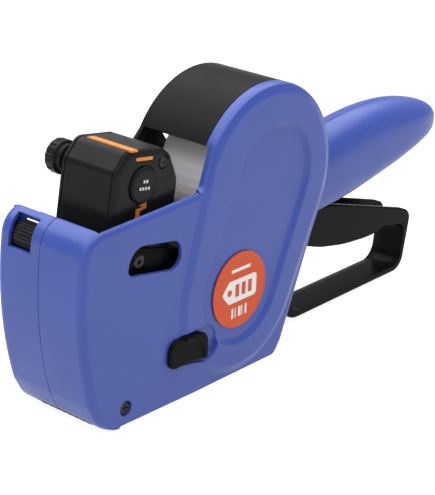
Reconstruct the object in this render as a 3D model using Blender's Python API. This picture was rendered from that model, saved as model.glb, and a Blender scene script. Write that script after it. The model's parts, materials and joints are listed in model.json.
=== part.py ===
"""Price labeling gun: a hand-held label printer and applicator.

The nose points to -X, the handle to +X, the left side (with the badge) to -Y and up is +Z.
The gun stands on its base at Z = 0, under the middle of its bounding box.
Every dimension below is in millimetres; MM turns them into metres when a mesh is made.
"""

import math

import bpy

MM = 0.001
CENTRE_Y = 1.5                  # added to every Y below, so that the gun stands about Y = 0

# Casing, side view (X, Z)
ROLL = (-17.7, 72.8)            # centre of the roll housing
ROLL_R = 36.7                   # outer radius of the roll housing
NOSE_TOP_FRONT = (-110.6, 76.0)
NOSE_TOP_REAR = (-53.6, 77.9)
NOSE_FOOT = (-101.9, 0.0)
NOSE_CURVE_R = 136.0            # bulging front of the nose
NOSE_CURVE_X = -113.5
NOSE_CURVE_Z = 50.0
BASE_STEP_X = -94.2             # the foot under the nose ends here
BASE_REST_X = -56.0             # from here to the rear the base is flat again
REAR_ANGLE = -12.0              # where the rear wall leaves the roll circle
REAR_BEND = (15.5, 52.4)
REAR_FOOT = (-5.8, 0.0)
FRONT_ANGLE = 147.0             # where the front edge leaves the roll circle
REAR_CORNER_R = 8.0

# Casing, across (Y)
NEAR_Y = -21.0                  # flat left side of the nose
BULGE_Y = -22.2                 # raised panel on the left side
DISH_Y = -20.7                  # floor of the shallow dish in that panel
RECESS_Y = -20.1                # floor of the thumb recess beside the latch
FAR_NOSE_Y = 20.6
FAR_REAR_Y = 14.3               # the right side is narrower behind the nose
SEAM_Y = -0.2
SEAM_GAP = 0.15
WALL = 1.6
EDGE_R = 3.0
BASE_EDGE = 0.1                 # the edges round the base are this much tighter
LEFT_END = -19.1                # axles and rods stop just short of the inner walls
RIGHT_END = 18.7
REAR_END = 12.4

BADGE = (-32.0, 34.1)
BADGE_R = 14.8
DISH_TOP = (-15.2, 73.2)
DISH_R = 20.4

# Handle: X, top Z, bottom Z, half width
HANDLE = (
    (4.0, 69.0, 41.8, 11.0),
    (20.0, 72.5, 42.7, 11.3),
    (35.0, 75.4, 43.8, 11.6),
    (50.0, 77.5, 45.5, 11.8),
    (65.0, 78.8, 48.2, 11.8),
    (80.0, 78.6, 51.4, 11.8),
    (92.0, 77.2, 54.6, 11.6),
    (101.0, 75.2, 57.2, 10.8),
    (107.5, 73.2, 59.2, 9.2),
    (112.0, 70.6, 61.4, 6.6),
    (114.4, 67.0, 64.0, 2.6),
)
HANDLE_WALL = 2.0
HANDLE_OPEN = (0.0, 98.0)       # the underside is open here for the trigger

# Trigger and print head
PIVOT = (-14.0, 38.0)           # main pivot of the trigger
HEAD_SCREW = (-82.0, 58.3)      # where the arms carry the print head
HEAD_CAP = (-79.0, 85.3)        # reference point of the head, centre of its round cap
HEAD_TILT = 8.6                 # degrees the head leans back at rest
CROSS_BAR = (-42.0, 44.8)       # bar that joins the two arms
TRIGGER_Y = 8.0
ARM_NEAR = (-17.0, -15.9)
ARM_FAR = (10.3, 11.4)
HEAD_NEAR_Y = -15.5
HEAD_FAR_Y = 10.0
BAND_COUNT = 6
BAND_PITCH = 3.4
BAND_WIDTH = 3.0
SELECTOR = (-8.8, 3.4)          # selector shaft, in the head's own upright frame
TYPE_BAR = (-2.0, -23.4)
INK = (-10.0, -21.8)

# Small mechanism
HOOD_PIN = (15.6, 80.1)
HOOD_START = 7.5               # degrees on the roll circle
HOOD_END = 147.0
PAPER_R = 25.4
CORE_R = 11.0
APPLICATOR = (-99.0, 5.6)
APPLICATOR_R = 4.6
POSITION_WHEEL = (-106.9, 67.2)
FEED = (-88.0, 26.0)
COVER_PIN = (-15.0, 4.4)
LATCH = (-60.4, 18.6)
FRONT_SCREW = (-91.6, 7.0)
REAR_SCREW = (-6.0, 16.0)
HANDLE_SCREW = (88.0, 67.0)

COLOURS = {
    "blue": ((0.095, 0.130, 0.420), 0.34, 0.0),
    "black": ((0.018, 0.018, 0.020), 0.38, 0.0),
    "orange": ((0.830, 0.300, 0.045), 0.45, 0.0),
    "badge": ((0.850, 0.120, 0.030), 0.50, 0.0),
    "paper": ((0.480, 0.460, 0.460), 0.85, 0.0),
    "card": ((0.350, 0.250, 0.160), 0.90, 0.0),
    "steel": ((0.560, 0.570, 0.580), 0.28, 1.0),
    "dark_steel": ((0.060, 0.060, 0.065), 0.35, 1.0),
    "rubber": ((0.015, 0.015, 0.016), 0.80, 0.0),
    "ink_foam": ((0.020, 0.018, 0.050), 0.90, 0.0),
}


# ---------------------------------------------------------------- outlines

def arc(centre, radius, start, end, step=9.0):
    """Points on an arc, angles in degrees, both ends included."""
    count = max(2, math.ceil(abs(end - start) / step))
    angles = [math.radians(start + (end - start) * i / count) for i in range(count + 1)]
    return [(centre[0] + radius * math.cos(a), centre[1] + radius * math.sin(a)) for a in angles]


def circle(centre, radius, count=24):
    return arc(centre, radius, 0.0, 360.0, 360.0 / count)[:-1]


def filleted(corners, step=15.0):
    """Closed outline from (x, z, radius) corners; a radius of 0 keeps the point."""
    points = []
    for i, (x, z, radius) in enumerate(corners):
        if radius == 0.0:
            points.append((x, z))
            continue
        before = corners[i - 1]
        after = corners[(i + 1) % len(corners)]
        a = math.atan2(before[1] - z, before[0] - x)
        b = math.atan2(after[1] - z, after[0] - x)
        turn = (b - a + math.pi) % (2 * math.pi) - math.pi
        reach = radius / math.tan(abs(turn) / 2)
        middle = a + turn / 2
        far = radius / math.sin(abs(turn) / 2)
        centre = (x + far * math.cos(middle), z + far * math.sin(middle))
        first = (x + reach * math.cos(a), z + reach * math.sin(a))
        last = (x + reach * math.cos(b), z + reach * math.sin(b))
        start = math.degrees(math.atan2(first[1] - centre[1], first[0] - centre[0]))
        end = math.degrees(math.atan2(last[1] - centre[1], last[0] - centre[0]))
        sweep = (end - start + 180.0) % 360.0 - 180.0
        points += arc(centre, radius, start, start + sweep, step)
    return points


def hull_of_two(a, radius_a, b, radius_b, step=12.0):
    """Outline of two circles joined by their outer tangents, counter-clockwise."""
    dx, dz = b[0] - a[0], b[1] - a[1]
    along = math.degrees(math.atan2(dz, dx))
    lean = math.degrees(math.acos((radius_a - radius_b) / math.hypot(dx, dz)))
    round_a = arc(a, radius_a, along + lean, along + 360.0 - lean, step)
    round_b = arc(b, radius_b, along - lean, along + lean, step)
    return round_a + round_b


def offset(outline, distance):
    """Moves a counter-clockwise outline inwards by distance, point by point."""
    moved = []
    for i, (x, z) in enumerate(outline):
        px, pz = outline[i - 1]
        nx, nz = outline[(i + 1) % len(outline)]
        in_x, in_z = x - px, z - pz
        out_x, out_z = nx - x, nz - z
        in_length, out_length = math.hypot(in_x, in_z), math.hypot(out_x, out_z)
        n1 = (-in_z / in_length, in_x / in_length)
        n2 = (-out_z / out_length, out_x / out_length)
        scale = distance / (1.0 + n1[0] * n2[0] + n1[1] * n2[1])
        moved.append((x + (n1[0] + n2[0]) * scale, z + (n1[1] + n2[1]) * scale))
    return moved


def nose_curve(z):
    """X of the nose's bulging front at height z."""
    return NOSE_CURVE_X + NOSE_CURVE_R - math.sqrt(NOSE_CURVE_R**2 - (z - NOSE_CURVE_Z) ** 2)


def casing_outline():
    """Side view of the casing without the handle, counter-clockwise from the nose top."""
    front = [(nose_curve(z), z, 0.0) for z in (68.2, 60.0, 50.0, 40.0, 30.0, 20.0, 12.0)]
    roll = arc(ROLL, ROLL_R, REAR_ANGLE, FRONT_ANGLE, 7.0)
    corners = [(*roll[-1], 0.0), (*NOSE_TOP_REAR, 3.0), (*NOSE_TOP_FRONT, 9.8), *front]
    corners += [(*NOSE_FOOT, 11.5), (BASE_STEP_X, 0.0, 0.0), (BASE_STEP_X + 0.8, 0.5, 0.0)]
    corners += [(BASE_REST_X, 0.0, 0.0), (*REAR_FOOT, REAR_CORNER_R), (*REAR_BEND, 100.0), (*roll[0], 0.0)]
    return filleted(corners, 12.0) + roll[1:-1]


def in_head(x, z):
    """World X, Z of a point given in the head's own upright frame around its cap."""
    tilt = math.radians(HEAD_TILT)
    return (
        HEAD_CAP[0] + x * math.cos(tilt) + z * math.sin(tilt),
        HEAD_CAP[1] - x * math.sin(tilt) + z * math.cos(tilt),
    )


def head_outline(corners, step=15.0):
    return [in_head(x, z) for x, z in filleted(corners, step)]


# ------------------------------------------------------------------ meshes

def material(kind):
    found = bpy.data.materials.get(kind)
    if found:
        return found
    colour, roughness, metallic = COLOURS[kind]
    made = bpy.data.materials.new(kind)
    made.use_nodes = True
    shader = made.node_tree.nodes["Principled BSDF"]
    shader.inputs["Base Color"].default_value = (*colour, 1.0)
    shader.inputs["Roughness"].default_value = roughness
    shader.inputs["Metallic"].default_value = metallic
    made.diffuse_color = (*colour, 1.0)
    return made


def solid(name, rings, kind, axis=(0.0, 0.0), close=True):
    """Closed mesh through rings of (x, y, z) points; its origin sits on the (x, z) axis."""
    origin = (axis[0] * MM, 0.0, axis[1] * MM)
    points = []
    for ring in rings:
        points += [(x * MM - origin[0], (y + CENTRE_Y) * MM, z * MM - origin[2]) for x, y, z in ring]
    count = len(rings[0])
    faces = []
    bands = len(rings) - 1 if close else len(rings)
    for level in range(bands):
        low = level * count
        high = (level + 1) % len(rings) * count
        for i in range(count):
            j = (i + 1) % count
            faces.append((low + i, low + j, high + j, high + i))
    sides = len(faces)
    if close:
        faces.append(tuple(reversed(range(count))))
        faces.append(tuple(range(len(points) - count, len(points))))
    mesh = bpy.data.meshes.new(name)
    mesh.from_pydata(points, [], faces)
    mesh.update()
    made = bpy.data.objects.new(name, mesh)
    made.location = origin
    bpy.context.scene.collection.objects.link(made)
    mesh.set_sharp_from_angle(angle=math.radians(32.0))
    for face in mesh.polygons:
        face.use_smooth = face.index < sides
    if kind:
        mesh.materials.append(material(kind))
    else:
        made.hide_render = True
        made.display_type = "WIRE"
    return made


def ring_at(outline, y):
    return [(x, y, z) for x, z in outline]


def prism(name, outline, y_low, y_high, kind=None, axis=(0.0, 0.0)):
    """Counter-clockwise (x, z) outline extruded from y_low to y_high."""
    return solid(name, [ring_at(outline, y_high), ring_at(outline, y_low)], kind, axis)


def block(name, low, high, kind=None, axis=(0.0, 0.0)):
    outline = [(low[0], low[2]), (high[0], low[2]), (high[0], high[2]), (low[0], high[2])]
    return prism(name, outline, low[1], high[1], kind, axis)


def rod(name, centre, radius, y_low, y_high, kind=None, count=20):
    return prism(name, circle(centre, radius, count), y_low, y_high, kind, centre)


def turned(name, centre, profile, kind, count=32):
    """Solid of revolution about the Y direction through centre, from (y, radius) pairs."""
    rings = [ring_at(circle(centre, radius, count), y) for y, radius in reversed(profile)]
    return solid(name, rings, kind, centre)


def tube(name, centre, profile, bore, kind, count=32):
    """Turned solid with a straight bore right through it."""
    made = turned(name, centre, profile, kind, count)
    low = min(y for y, _ in profile) - 1.0
    high = max(y for y, _ in profile) + 1.0
    return cut(made, rod(name + "_bore", centre, bore, low, high))


def boolean(target, tool, operation):
    step = target.modifiers.new(tool.name, "BOOLEAN")
    step.operation = operation
    step.object = tool
    step.solver = "EXACT"
    return target


def cut(target, *tools):
    for tool in tools:
        boolean(target, tool, "DIFFERENCE")
    return target


def join(target, *tools):
    for tool in tools:
        boolean(target, tool, "UNION")
    return target


def keep(target, tool):
    return boolean(target, tool, "INTERSECT")


# ----------------------------------------------------------------- casings

def base_level(z, z_start):
    """Height of a point of a rounded edge; round the base the edge is tighter."""
    if z_start > 1.0:
        return z
    return z_start + BASE_EDGE * (z - z_start)


def rounded_side(name, outline, side_y, inner_y, edge, kind=None):
    """Slab between the side face and inner_y whose outer edge is rounded by edge."""
    inward = 1.0 if inner_y > side_y else -1.0
    rings = [ring_at(outline, inner_y)]
    for angle in (0.0, 22.5, 45.0, 67.5, 90.0):
        turn = math.radians(angle)
        level = side_y + inward * edge * (1.0 - math.sin(turn))
        moved = offset(outline, edge * (1.0 - math.cos(turn)))
        rings.append([(x, level, base_level(z, z_start)) for (x, z), (_, z_start) in zip(moved, outline)])
    if inward < 0.0:
        rings.reverse()
    return solid(name, rings, kind)


def handle_section(top, bottom, half_width, inset):
    """Arched section: round top, boxier lower half."""
    middle = bottom + 0.5 * (top - bottom)
    points = []
    for i in range(20):
        angle = 2.0 * math.pi * i / 20
        c, s = math.cos(angle), math.sin(angle)
        power = 2.3 if s > 0.0 else 4.0
        reach = (abs(c) ** power + abs(s) ** power) ** (-1.0 / power)
        y = (half_width - inset) * reach * c
        z = middle + (0.5 * (top - bottom) - inset) * reach * s
        points.append((y, z))
    return points


def handle_solid(name, inset, start, end):
    rings = []
    for x, top, bottom, half_width in HANDLE:
        if half_width < inset + 1.0:
            continue
        shift = -inset * 0.5 if x > 100.0 else 0.0
        section = handle_section(top, bottom, half_width, inset)
        rings.append([(x + shift, y, z) for y, z in section])
    rings[0] = [(start, y, z) for _, y, z in rings[0]]
    made = solid(name, rings, None)
    return made


def screw_boss(name, place, radius, y_low, y_high):
    return rod(name, place, radius, y_low, y_high, None, 16)


def roll_opening(name, y_low, y_high):
    """Space over the roll: the hood's sector and everything above it."""
    outer = arc(ROLL, ROLL_R + 8.0, 4.0, FRONT_ANGLE + 4.5, 10.0)
    inner = arc(ROLL, ROLL_R - WALL - 1.4, FRONT_ANGLE + 4.5, 4.0, 10.0)
    return prism(name, outer + inner, y_low, y_high)


def left_casing():
    outline = casing_outline()
    shell = rounded_side("left_casing", outline, NEAR_Y, SEAM_Y - SEAM_GAP, EDGE_R, "blue")
    bulge = rounded_side("bulge_body", outline, BULGE_Y, NEAR_Y + 2.6, EDGE_R)
    foot = hull_of_two(ROLL, ROLL_R - 0.2, BADGE, 33.1)
    crest = offset(foot, 1.6)
    stadium = [ring_at(foot, NEAR_Y + 4.0), ring_at(foot, NEAR_Y)]
    stadium += [ring_at(crest, BULGE_Y), ring_at(crest, -27.0)]
    keep(bulge, solid("bulge_stadium", stadium, None))
    join(shell, bulge, handle_solid("handle_outer_left", 0.0, 4.0, 113.0))
    hollow = offset(outline, WALL)
    cut(shell, prism("left_hollow", hollow, NEAR_Y + WALL, 30.0))
    cut(shell, handle_solid("handle_inner_left", HANDLE_WALL, -4.0, 110.0))
    join(shell, *left_bosses())
    cut(shell, block("right_half", (-150.0, SEAM_Y - SEAM_GAP, -20.0), (150.0, 40.0, 140.0)))
    cut(shell, block("handle_slot_left", (HANDLE_OPEN[0], -9.4, 24.0), (HANDLE_OPEN[1], 20.0, 62.0)))
    cut(shell, block("nose_opening_left", (-104.3, NEAR_Y + 1.5, 56.0), (-54.4, 30.0, 90.0)))
    cut(shell, roll_opening("roll_opening_left", -17.1, 30.0))
    cut(shell, front_flange("front_opening_left", -18.2))
    cut(shell, dish(), side_slot(), latch_slot(), finger_recess())
    cut(shell, applicator_slot("applicator_slot_left"), base_opening("base_opening_left"))
    cut(shell, *left_bores())
    return shell


def front_flange(name, y_low):
    """Removes the wall at the front of the roll housing, inside its edge flange."""
    corners = [(-60.0, 74.0), (-52.0, 74.0), (-44.7, 90.0), (-51.4, 94.3), (-64.0, 82.0)]
    return prism(name, corners, y_low, 30.0)


def left_bosses():
    front = screw_boss("front_boss", FRONT_SCREW, 3.6, NEAR_Y + 1.0, -14.7)
    rear = screw_boss("rear_boss_left", REAR_SCREW, 3.4, NEAR_Y + 1.0, SEAM_Y)
    handle = screw_boss("handle_boss_left", HANDLE_SCREW, 3.2, -10.5, SEAM_Y)
    pivot = rod("pivot_boss_left", PIVOT, 4.4, NEAR_Y + 1.0, -17.25)
    return front, rear, handle, pivot


def left_bores():
    sink = rod("front_counterbore", FRONT_SCREW, 2.9, -27.0, -19.5)
    front = rod("front_bore", FRONT_SCREW, 1.6, -20.0, -14.0, None, 12)
    rear = rod("rear_bore_left", REAR_SCREW, 1.5, -14.0, 5.0, None, 12)
    handle = rod("handle_bore_left", HANDLE_SCREW, 1.5, -8.0, 5.0, None, 12)
    pivot = rod("pivot_bore_left", PIVOT, 2.1, -18.3, -16.0)
    return sink, front, rear, handle, pivot


def dish():
    top = hull_of_two(DISH_TOP, DISH_R + 0.9, BADGE, DISH_R + 0.9)
    floor = hull_of_two(DISH_TOP, DISH_R - 0.9, BADGE, DISH_R - 0.9)
    rings = [ring_at(floor, DISH_Y), ring_at(top, BULGE_Y), ring_at(top, -27.0)]
    return solid("dish", rings, None)


def side_slot():
    """Window in the left side through which the head screw is reached."""
    corners = [(-91.6, 56.4, 2.8), (-64.4, 51.8, 4.6), (-64.4, 62.8, 5.0), (-90.2, 67.2, 7.2)]
    return prism("side_slot", filleted(corners), -28.0, -16.0)


def latch_slot():
    corners = [(-66.0, 15.0, 1.5), (-51.5, 15.0, 1.5), (-51.5, 22.6, 1.5), (-66.0, 22.6, 1.5)]
    return prism("latch_slot", filleted(corners), -28.0, -16.0)


def finger_recess():
    """Thumb recess beside the latch; it cuts into the raised panel."""
    rings = []
    for y, radius in ((RECESS_Y, 6.9), (BULGE_Y + 0.3, 7.2), (BULGE_Y - 3.0, 7.6)):
        rings.append(ring_at(hull_of_two((-51.0, 18.7), radius, (-62.0, 19.2), radius - 1.2), y))
    return solid("finger_recess", rings, None)


def applicator_slot(name):
    return rod(name, APPLICATOR, APPLICATOR_R + 0.35, -14.4, 11.4, None, 28)


def base_opening(name):
    return block(name, (-90.2, -14.0, -3.0), (-9.4, 11.0, 3.2))


def right_casing():
    outline = casing_outline()
    shell = rounded_side("right_casing", outline, FAR_NOSE_Y, SEAM_Y + SEAM_GAP, EDGE_R, "blue")
    cut(shell, rear_step("rear_step_outer", FAR_REAR_Y))
    join(shell, handle_solid("handle_outer_right", 0.0, 4.0, 113.0))
    hollow = offset(outline, WALL)
    nose = prism("right_nose_hollow", hollow, -5.0, FAR_NOSE_Y - WALL)
    cut(nose, rear_step("rear_step_inner", FAR_REAR_Y - WALL, WALL))
    cut(shell, nose)
    cut(shell, handle_solid("handle_inner_right", HANDLE_WALL, -4.0, 110.0))
    join(shell, *right_bosses(), block("nose_lip", (-105.6, 1.5, 72.7), (-104.0, 17.0, 75.5)))
    join(shell, block("nose_rib", (-105.6, 14.2, 60.0), (-104.0, FAR_NOSE_Y - 0.8, 75.5)))
    cut(shell, block("left_half", (-150.0, -40.0, -20.0), (150.0, SEAM_Y + SEAM_GAP, 140.0)))
    cut(shell, block("handle_slot_right", (HANDLE_OPEN[0], -20.0, 24.0), (HANDLE_OPEN[1], 9.4, 62.0)))
    cut(shell, block("nose_opening_right", (-104.3, -9.0, 56.0), (-58.0, FAR_NOSE_Y - 2.0, 90.0)))
    cut(shell, knob_cutout(), nose_window(), hood_space())
    cut(shell, applicator_slot("applicator_slot_right"), base_opening("base_opening_right"))
    cut(shell, *right_bores())
    return shell


def rear_step(name, y_low, margin=0.0):
    """Everything outside y_low behind the sloping step of the right side."""
    corners = [(-58.0 - margin, -10.0), (90.0, -10.0), (90.0, 130.0), (-34.0 - margin, 130.0)]
    corners += [(-47.0 - margin, 78.0), (-61.0 - margin, 44.0), (-63.0 - margin, 30.0)]
    return prism(name, corners, y_low, 30.0)


def right_bosses():
    rear = screw_boss("rear_boss_right", REAR_SCREW, 3.4, SEAM_Y, FAR_REAR_Y - 1.0)
    handle = screw_boss("handle_boss_right", HANDLE_SCREW, 3.2, SEAM_Y, 10.5)
    return rear, handle


def right_bores():
    bores = []
    for name, place, face in (("rear", REAR_SCREW, FAR_REAR_Y), ("handle", HANDLE_SCREW, 11.8)):
        bores.append(rod(name + "_bore_right", place, 1.5, -2.0, 25.0, None, 12))
        bores.append(rod(name + "_sink_right", place, 2.9, face - 1.6, 25.0, None, 20))
    bores.append(rod("pivot_bore_right", PIVOT, 2.1, 8.0, FAR_REAR_Y - 0.7))
    return bores


def knob_cutout():
    corners = [(-104.6, 62.0, 4.0), (-73.0, 62.0, 6.0), (-70.0, 95.0, 0.0), (-104.6, 95.0, 0.0)]
    return prism("knob_cutout", filleted(corners), 8.0, 30.0)


def nose_window():
    return block("nose_window", (-125.0, 4.3, 63.8), (-105.9, 15.3, 74.9))


def hood_space():
    """Space of the hood over the right side, leaving a round ear for the roll hub."""
    space = block("hood_space", (-50.6, -10.0, 68.5), (20.4, 30.0, 130.0))
    handle_keep = block("handle_keep", (14.0, -12.0, 60.0), (70.0, 12.0, 76.0))
    ear = rod("hub_ear", ROLL, 13.0, FAR_REAR_Y - WALL, FAR_REAR_Y + 1.0, None, 28)
    above = block("over_nose", (-58.2, -10.0, 77.4), (-50.0, 30.0, 130.0))
    roof = block("rear_roof", (-58.5, -9.0, 70.0), (-50.0, 12.4, 90.0))
    cut(space, ear, handle_keep)
    return join(space, above, roof)


# -------------------------------------------------------------------- hood

def roll_hood():
    """Black arched cover over the label roll, with its own right wall."""
    outer = arc(ROLL, ROLL_R, HOOD_START, HOOD_END, 5.0)
    inner = arc(ROLL, ROLL_R - 1.8, HOOD_END, HOOD_START, 5.0)
    hood = prism("roll_hood", outer + inner, -16.8, FAR_REAR_Y, "black", HOOD_PIN)
    front = [(-60.0, 81.4), (-60.0, 78.4), (-50.2, 78.4), (-50.2, 69.3)]
    wall = arc(ROLL, ROLL_R, -6.0, 148.0, 6.0) + front
    side = prism("hood_side", wall, FAR_REAR_Y - 1.5, FAR_REAR_Y)
    barrel = rod("hood_barrel", HOOD_PIN, 2.7, -12.0, 8.0)
    join(hood, side, barrel)
    window = rod("hood_window", ROLL, 20.0, 11.0, 20.0, None, 40)
    gap = prism("hood_gap", [(-35.4, 83.8), (-30.0, 88.0), (-36.0, 93.5), (-40.6, 91.6)], 11.0, 20.0)
    bore = rod("hood_bore", HOOD_PIN, 1.25, -20.0, 20.0)
    return cut(hood, window, gap, bore)


def hood_hinge_pin():
    return rod("hood_hinge_pin", HOOD_PIN, 1.15, -16.9, 12.6, "steel")


# ----------------------------------------------------------------- trigger

def trigger_lever():
    """Black lever: pivot barrel, channel-shaped upper arm and thin finger loop."""
    outer = [(-18.5, 35.0, 4.0), (-18.0, 42.5, 4.0), (-8.0, 44.0, 4.0), (22.0, 47.5, 12.0)]
    outer += [(42.2, 44.4, 0.0), (91.0, 29.9, 3.0), (98.4, 26.7, 5.0), (93.8, 1.5, 7.0)]
    outer += [(12.0, 1.2, 10.0), (12.0, 27.0, 8.0), (-8.0, 31.0, 8.0)]
    outer.reverse()
    lever = prism("trigger_lever", filleted(outer), -TRIGGER_Y, TRIGGER_Y, "black", PIVOT)
    join(lever, rod("trigger_barrel", PIVOT, 5.0, ARM_NEAR[1] + 0.3, ARM_FAR[0] - 0.3))
    hole = [(19.0, 33.2, 4.0), (34.5, 28.0, 0.0), (49.5, 25.0, 0.0), (62.7, 23.8, 0.0)]
    hole += [(70.8, 23.5, 0.0), (79.0, 25.4, 6.0), (94.4, 22.1, 5.0), (91.9, 4.1, 5.5)]
    hole += [(14.8, 4.0, 8.0)]
    hole.reverse()
    channel = [(12.0, 36.5, 3.0), (34.5, 31.0, 0.0), (49.5, 27.8, 0.0), (62.7, 26.6, 0.0)]
    channel += [(79.0, 28.0, 0.0), (101.0, 20.6, 0.0), (101.0, 70.0, 0.0), (12.0, 70.0, 0.0)]
    cut(lever, finger_hole(filleted(hole)))
    cut(lever, prism("lever_channel", filleted(channel), -TRIGGER_Y + 1.8, TRIGGER_Y - 1.8))
    return cut(lever, rod("trigger_bore", PIVOT, 2.05, -20.0, 20.0))


def finger_hole(outline):
    """Opening of the loop; it flares towards the right side, so the bar has a sloping top."""
    rings = [ring_at(offset(outline, -3.0), 12.0), ring_at(outline, 3.0), ring_at(outline, -12.0)]
    return solid("finger_hole", rings, None)


def lever_arm(name, span):
    outline = hull_of_two(PIVOT, 6.0, HEAD_SCREW, 4.8)
    arm = prism(name, outline, span[0], span[1], "dark_steel", PIVOT)
    cut(arm, rod(name + "_pivot_hole", PIVOT, 2.05, -30.0, 30.0))
    return cut(arm, rod(name + "_head_hole", HEAD_SCREW, 1.5, -30.0, 30.0, None, 16))


def lever_parts():
    lever_arm("lever_arm_left", ARM_NEAR)
    lever_arm("lever_arm_right", ARM_FAR)
    rod("arm_cross_bar", CROSS_BAR, 1.6, ARM_NEAR[1] + 0.3, ARM_FAR[0] - 0.3, "steel", 16)
    rod("main_pivot_pin", PIVOT, 1.95, -18.1, FAR_REAR_Y - 1.0, "steel", 24)
    tip = [(-44.0, 46.0, 0.0), (-44.6, 39.6, 4.0), (-76.6, 29.6, 0.0), (-74.6, 26.4, 0.0)]
    tip += [(-41.5, 37.0, 3.0), (-40.0, 46.0, 0.0)]
    pawl = prism("feed_pawl", filleted(tip), -3.2, -0.8, "steel", PIVOT)
    join(pawl, rod("pawl_eye", CROSS_BAR, 3.2, -3.2, -0.8))
    cut(pawl, rod("pawl_bore", CROSS_BAR, 1.65, -10.0, 5.0))


def return_spring():
    """Torsion spring on the pivot barrel, one leg on the casing, one under the cross bar."""
    wire, coil_r, turns, steps = 0.55, 6.2, 4, 14
    start_y, end_y = -14.2, -9.4
    path = [(-0.8, start_y, 24.0), (-6.0, start_y, 29.0)]
    count = int(turns * steps)
    for i in range(count + 1):
        angle = math.radians(-70.0 + (250.0 + 360.0 * (turns - 1)) * i / count)
        y = start_y + (end_y - start_y) * i / count
        path.append((PIVOT[0] + coil_r * math.cos(angle), y, PIVOT[1] + coil_r * math.sin(angle)))
    path += [(-28.0, end_y, 36.0), (-43.0, end_y, 42.4)]
    wire_along("return_spring", path, wire, "steel", PIVOT)


def wire_along(name, path, radius, kind, axis):
    curve = bpy.data.curves.new(name, "CURVE")
    curve.dimensions = "3D"
    spline = curve.splines.new("POLY")
    spline.points.add(len(path) - 1)
    for point, (x, y, z) in zip(spline.points, path):
        point.co = ((x - axis[0]) * MM, (y + CENTRE_Y) * MM, (z - axis[1]) * MM, 1.0)
    curve.bevel_depth = radius * MM
    curve.bevel_resolution = 1
    curve.use_fill_caps = True
    made = bpy.data.objects.new(name, curve)
    made.location = (axis[0] * MM, 0.0, axis[1] * MM)
    made.data.materials.append(material(kind))
    bpy.context.scene.collection.objects.link(made)
    return made


# -------------------------------------------------------------- print head

HEAD_FRONT, HEAD_REAR, HEAD_TOP, HEAD_BOTTOM = -13.9, 18.5, 12.2, -26.0


def head_profile(front, top, inset=0.0):
    """Upright side view of the head: rounded top front, long curve at the top rear."""
    rear = HEAD_REAR - inset
    corners = [(front, HEAD_BOTTOM, 0.0), (rear, HEAD_BOTTOM, 0.0), (rear, 1.0 - inset, 4.0)]
    corners += [(13.5, 9.4 - inset, 6.0), (9.0, top, 3.0), (front + 5.5, top, 5.0), (front, top - 7.5, 4.0)]
    return corners


def head_housing():
    outline = head_outline(head_profile(HEAD_FRONT, HEAD_TOP))
    shell = prism("head_housing", outline, -13.6, 8.4, "black", HEAD_CAP)
    inner = [(x, z, r) for x, z, r in head_profile(HEAD_FRONT + 1.1, HEAD_TOP - 1.1, 1.3)]
    inner[0] = (inner[0][0], HEAD_BOTTOM - 4.0, 0.0)
    inner[1] = (inner[1][0], HEAD_BOTTOM - 4.0, 0.0)
    cut(shell, prism("head_hollow", head_outline(inner), -30.0, 30.0))
    groove = [(-7.3, 11.4, 0.0), (-3.1, 11.4, 0.0), (-3.1, 20.0, 0.0), (-7.3, 20.0, 0.0)]
    return cut(shell, prism("index_groove", head_outline(groove), -14.9, 6.4))


def head_side_plates():
    outer = head_outline(head_profile(HEAD_FRONT + 0.2, HEAD_TOP - 0.2))
    local = filleted(head_profile(HEAD_FRONT + 0.2, HEAD_TOP - 0.2))
    face = [in_head(0.873 * x + 1.15, 0.958 * z - 1.09) for x, z in local]
    rings = [ring_at(outer, -13.9), ring_at(outer, -14.1), ring_at(face, HEAD_NEAR_Y)]
    near = solid("head_side_plate", rings, "black", HEAD_CAP)
    cut(near, rod("cap_pocket", HEAD_CAP, 6.9, -20.0, -14.8, None, 32))
    cut(near, rod("head_screw_hole_left", HEAD_SCREW, 1.5, -30.0, 0.0, None, 16))
    screw = in_head(9.2, 7.2)
    cut(near, rod("plate_screw_sink", screw, 2.5, -20.0, -14.7, None, 20))
    cut(near, rod("plate_screw_hole", screw, 1.2, -20.0, -13.0, None, 12))
    window = [(-5.0, 8.3, 0.8), (3.8, 8.3, 0.8), (3.8, 10.1, 0.8), (-5.0, 10.1, 0.8)]
    cut(near, prism("index_pocket", head_outline(window), -20.0, -14.8))
    cut(near, prism("pointer_pocket", pointer_outline(0.15), -20.0, -15.0))
    notch = [(-7.3, 11.4, 0.0), (-3.1, 11.4, 0.0), (-3.1, 20.0, 0.0), (-7.3, 20.0, 0.0)]
    cut(near, prism("bar_notch", head_outline(notch), -14.9, -12.0))
    far_outline = head_outline(head_profile(HEAD_FRONT, HEAD_TOP))
    far = prism("head_far_plate", far_outline, 8.7, HEAD_FAR_Y, "black", HEAD_CAP)
    cut(far, rod("selector_hole", in_head(*SELECTOR), 1.7, 0.0, 20.0, None, 20))
    cut(far, rod("head_screw_hole_right", HEAD_SCREW, 1.5, 0.0, 20.0, None, 16))


def pointer_outline(grow):
    """Small S-shaped mark under the round cap."""
    corners = [(-1.9, -12.6), (0.1, -12.6), (0.1, -9.1), (3.0, -8.4), (2.9, -6.2)]
    corners += [(-0.4, -6.95), (-0.3, -7.6), (1.2, -7.3), (1.2, -7.9), (-1.9, -8.4)]
    return [in_head(x, z) for x, z in offset(corners, -grow)]


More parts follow.
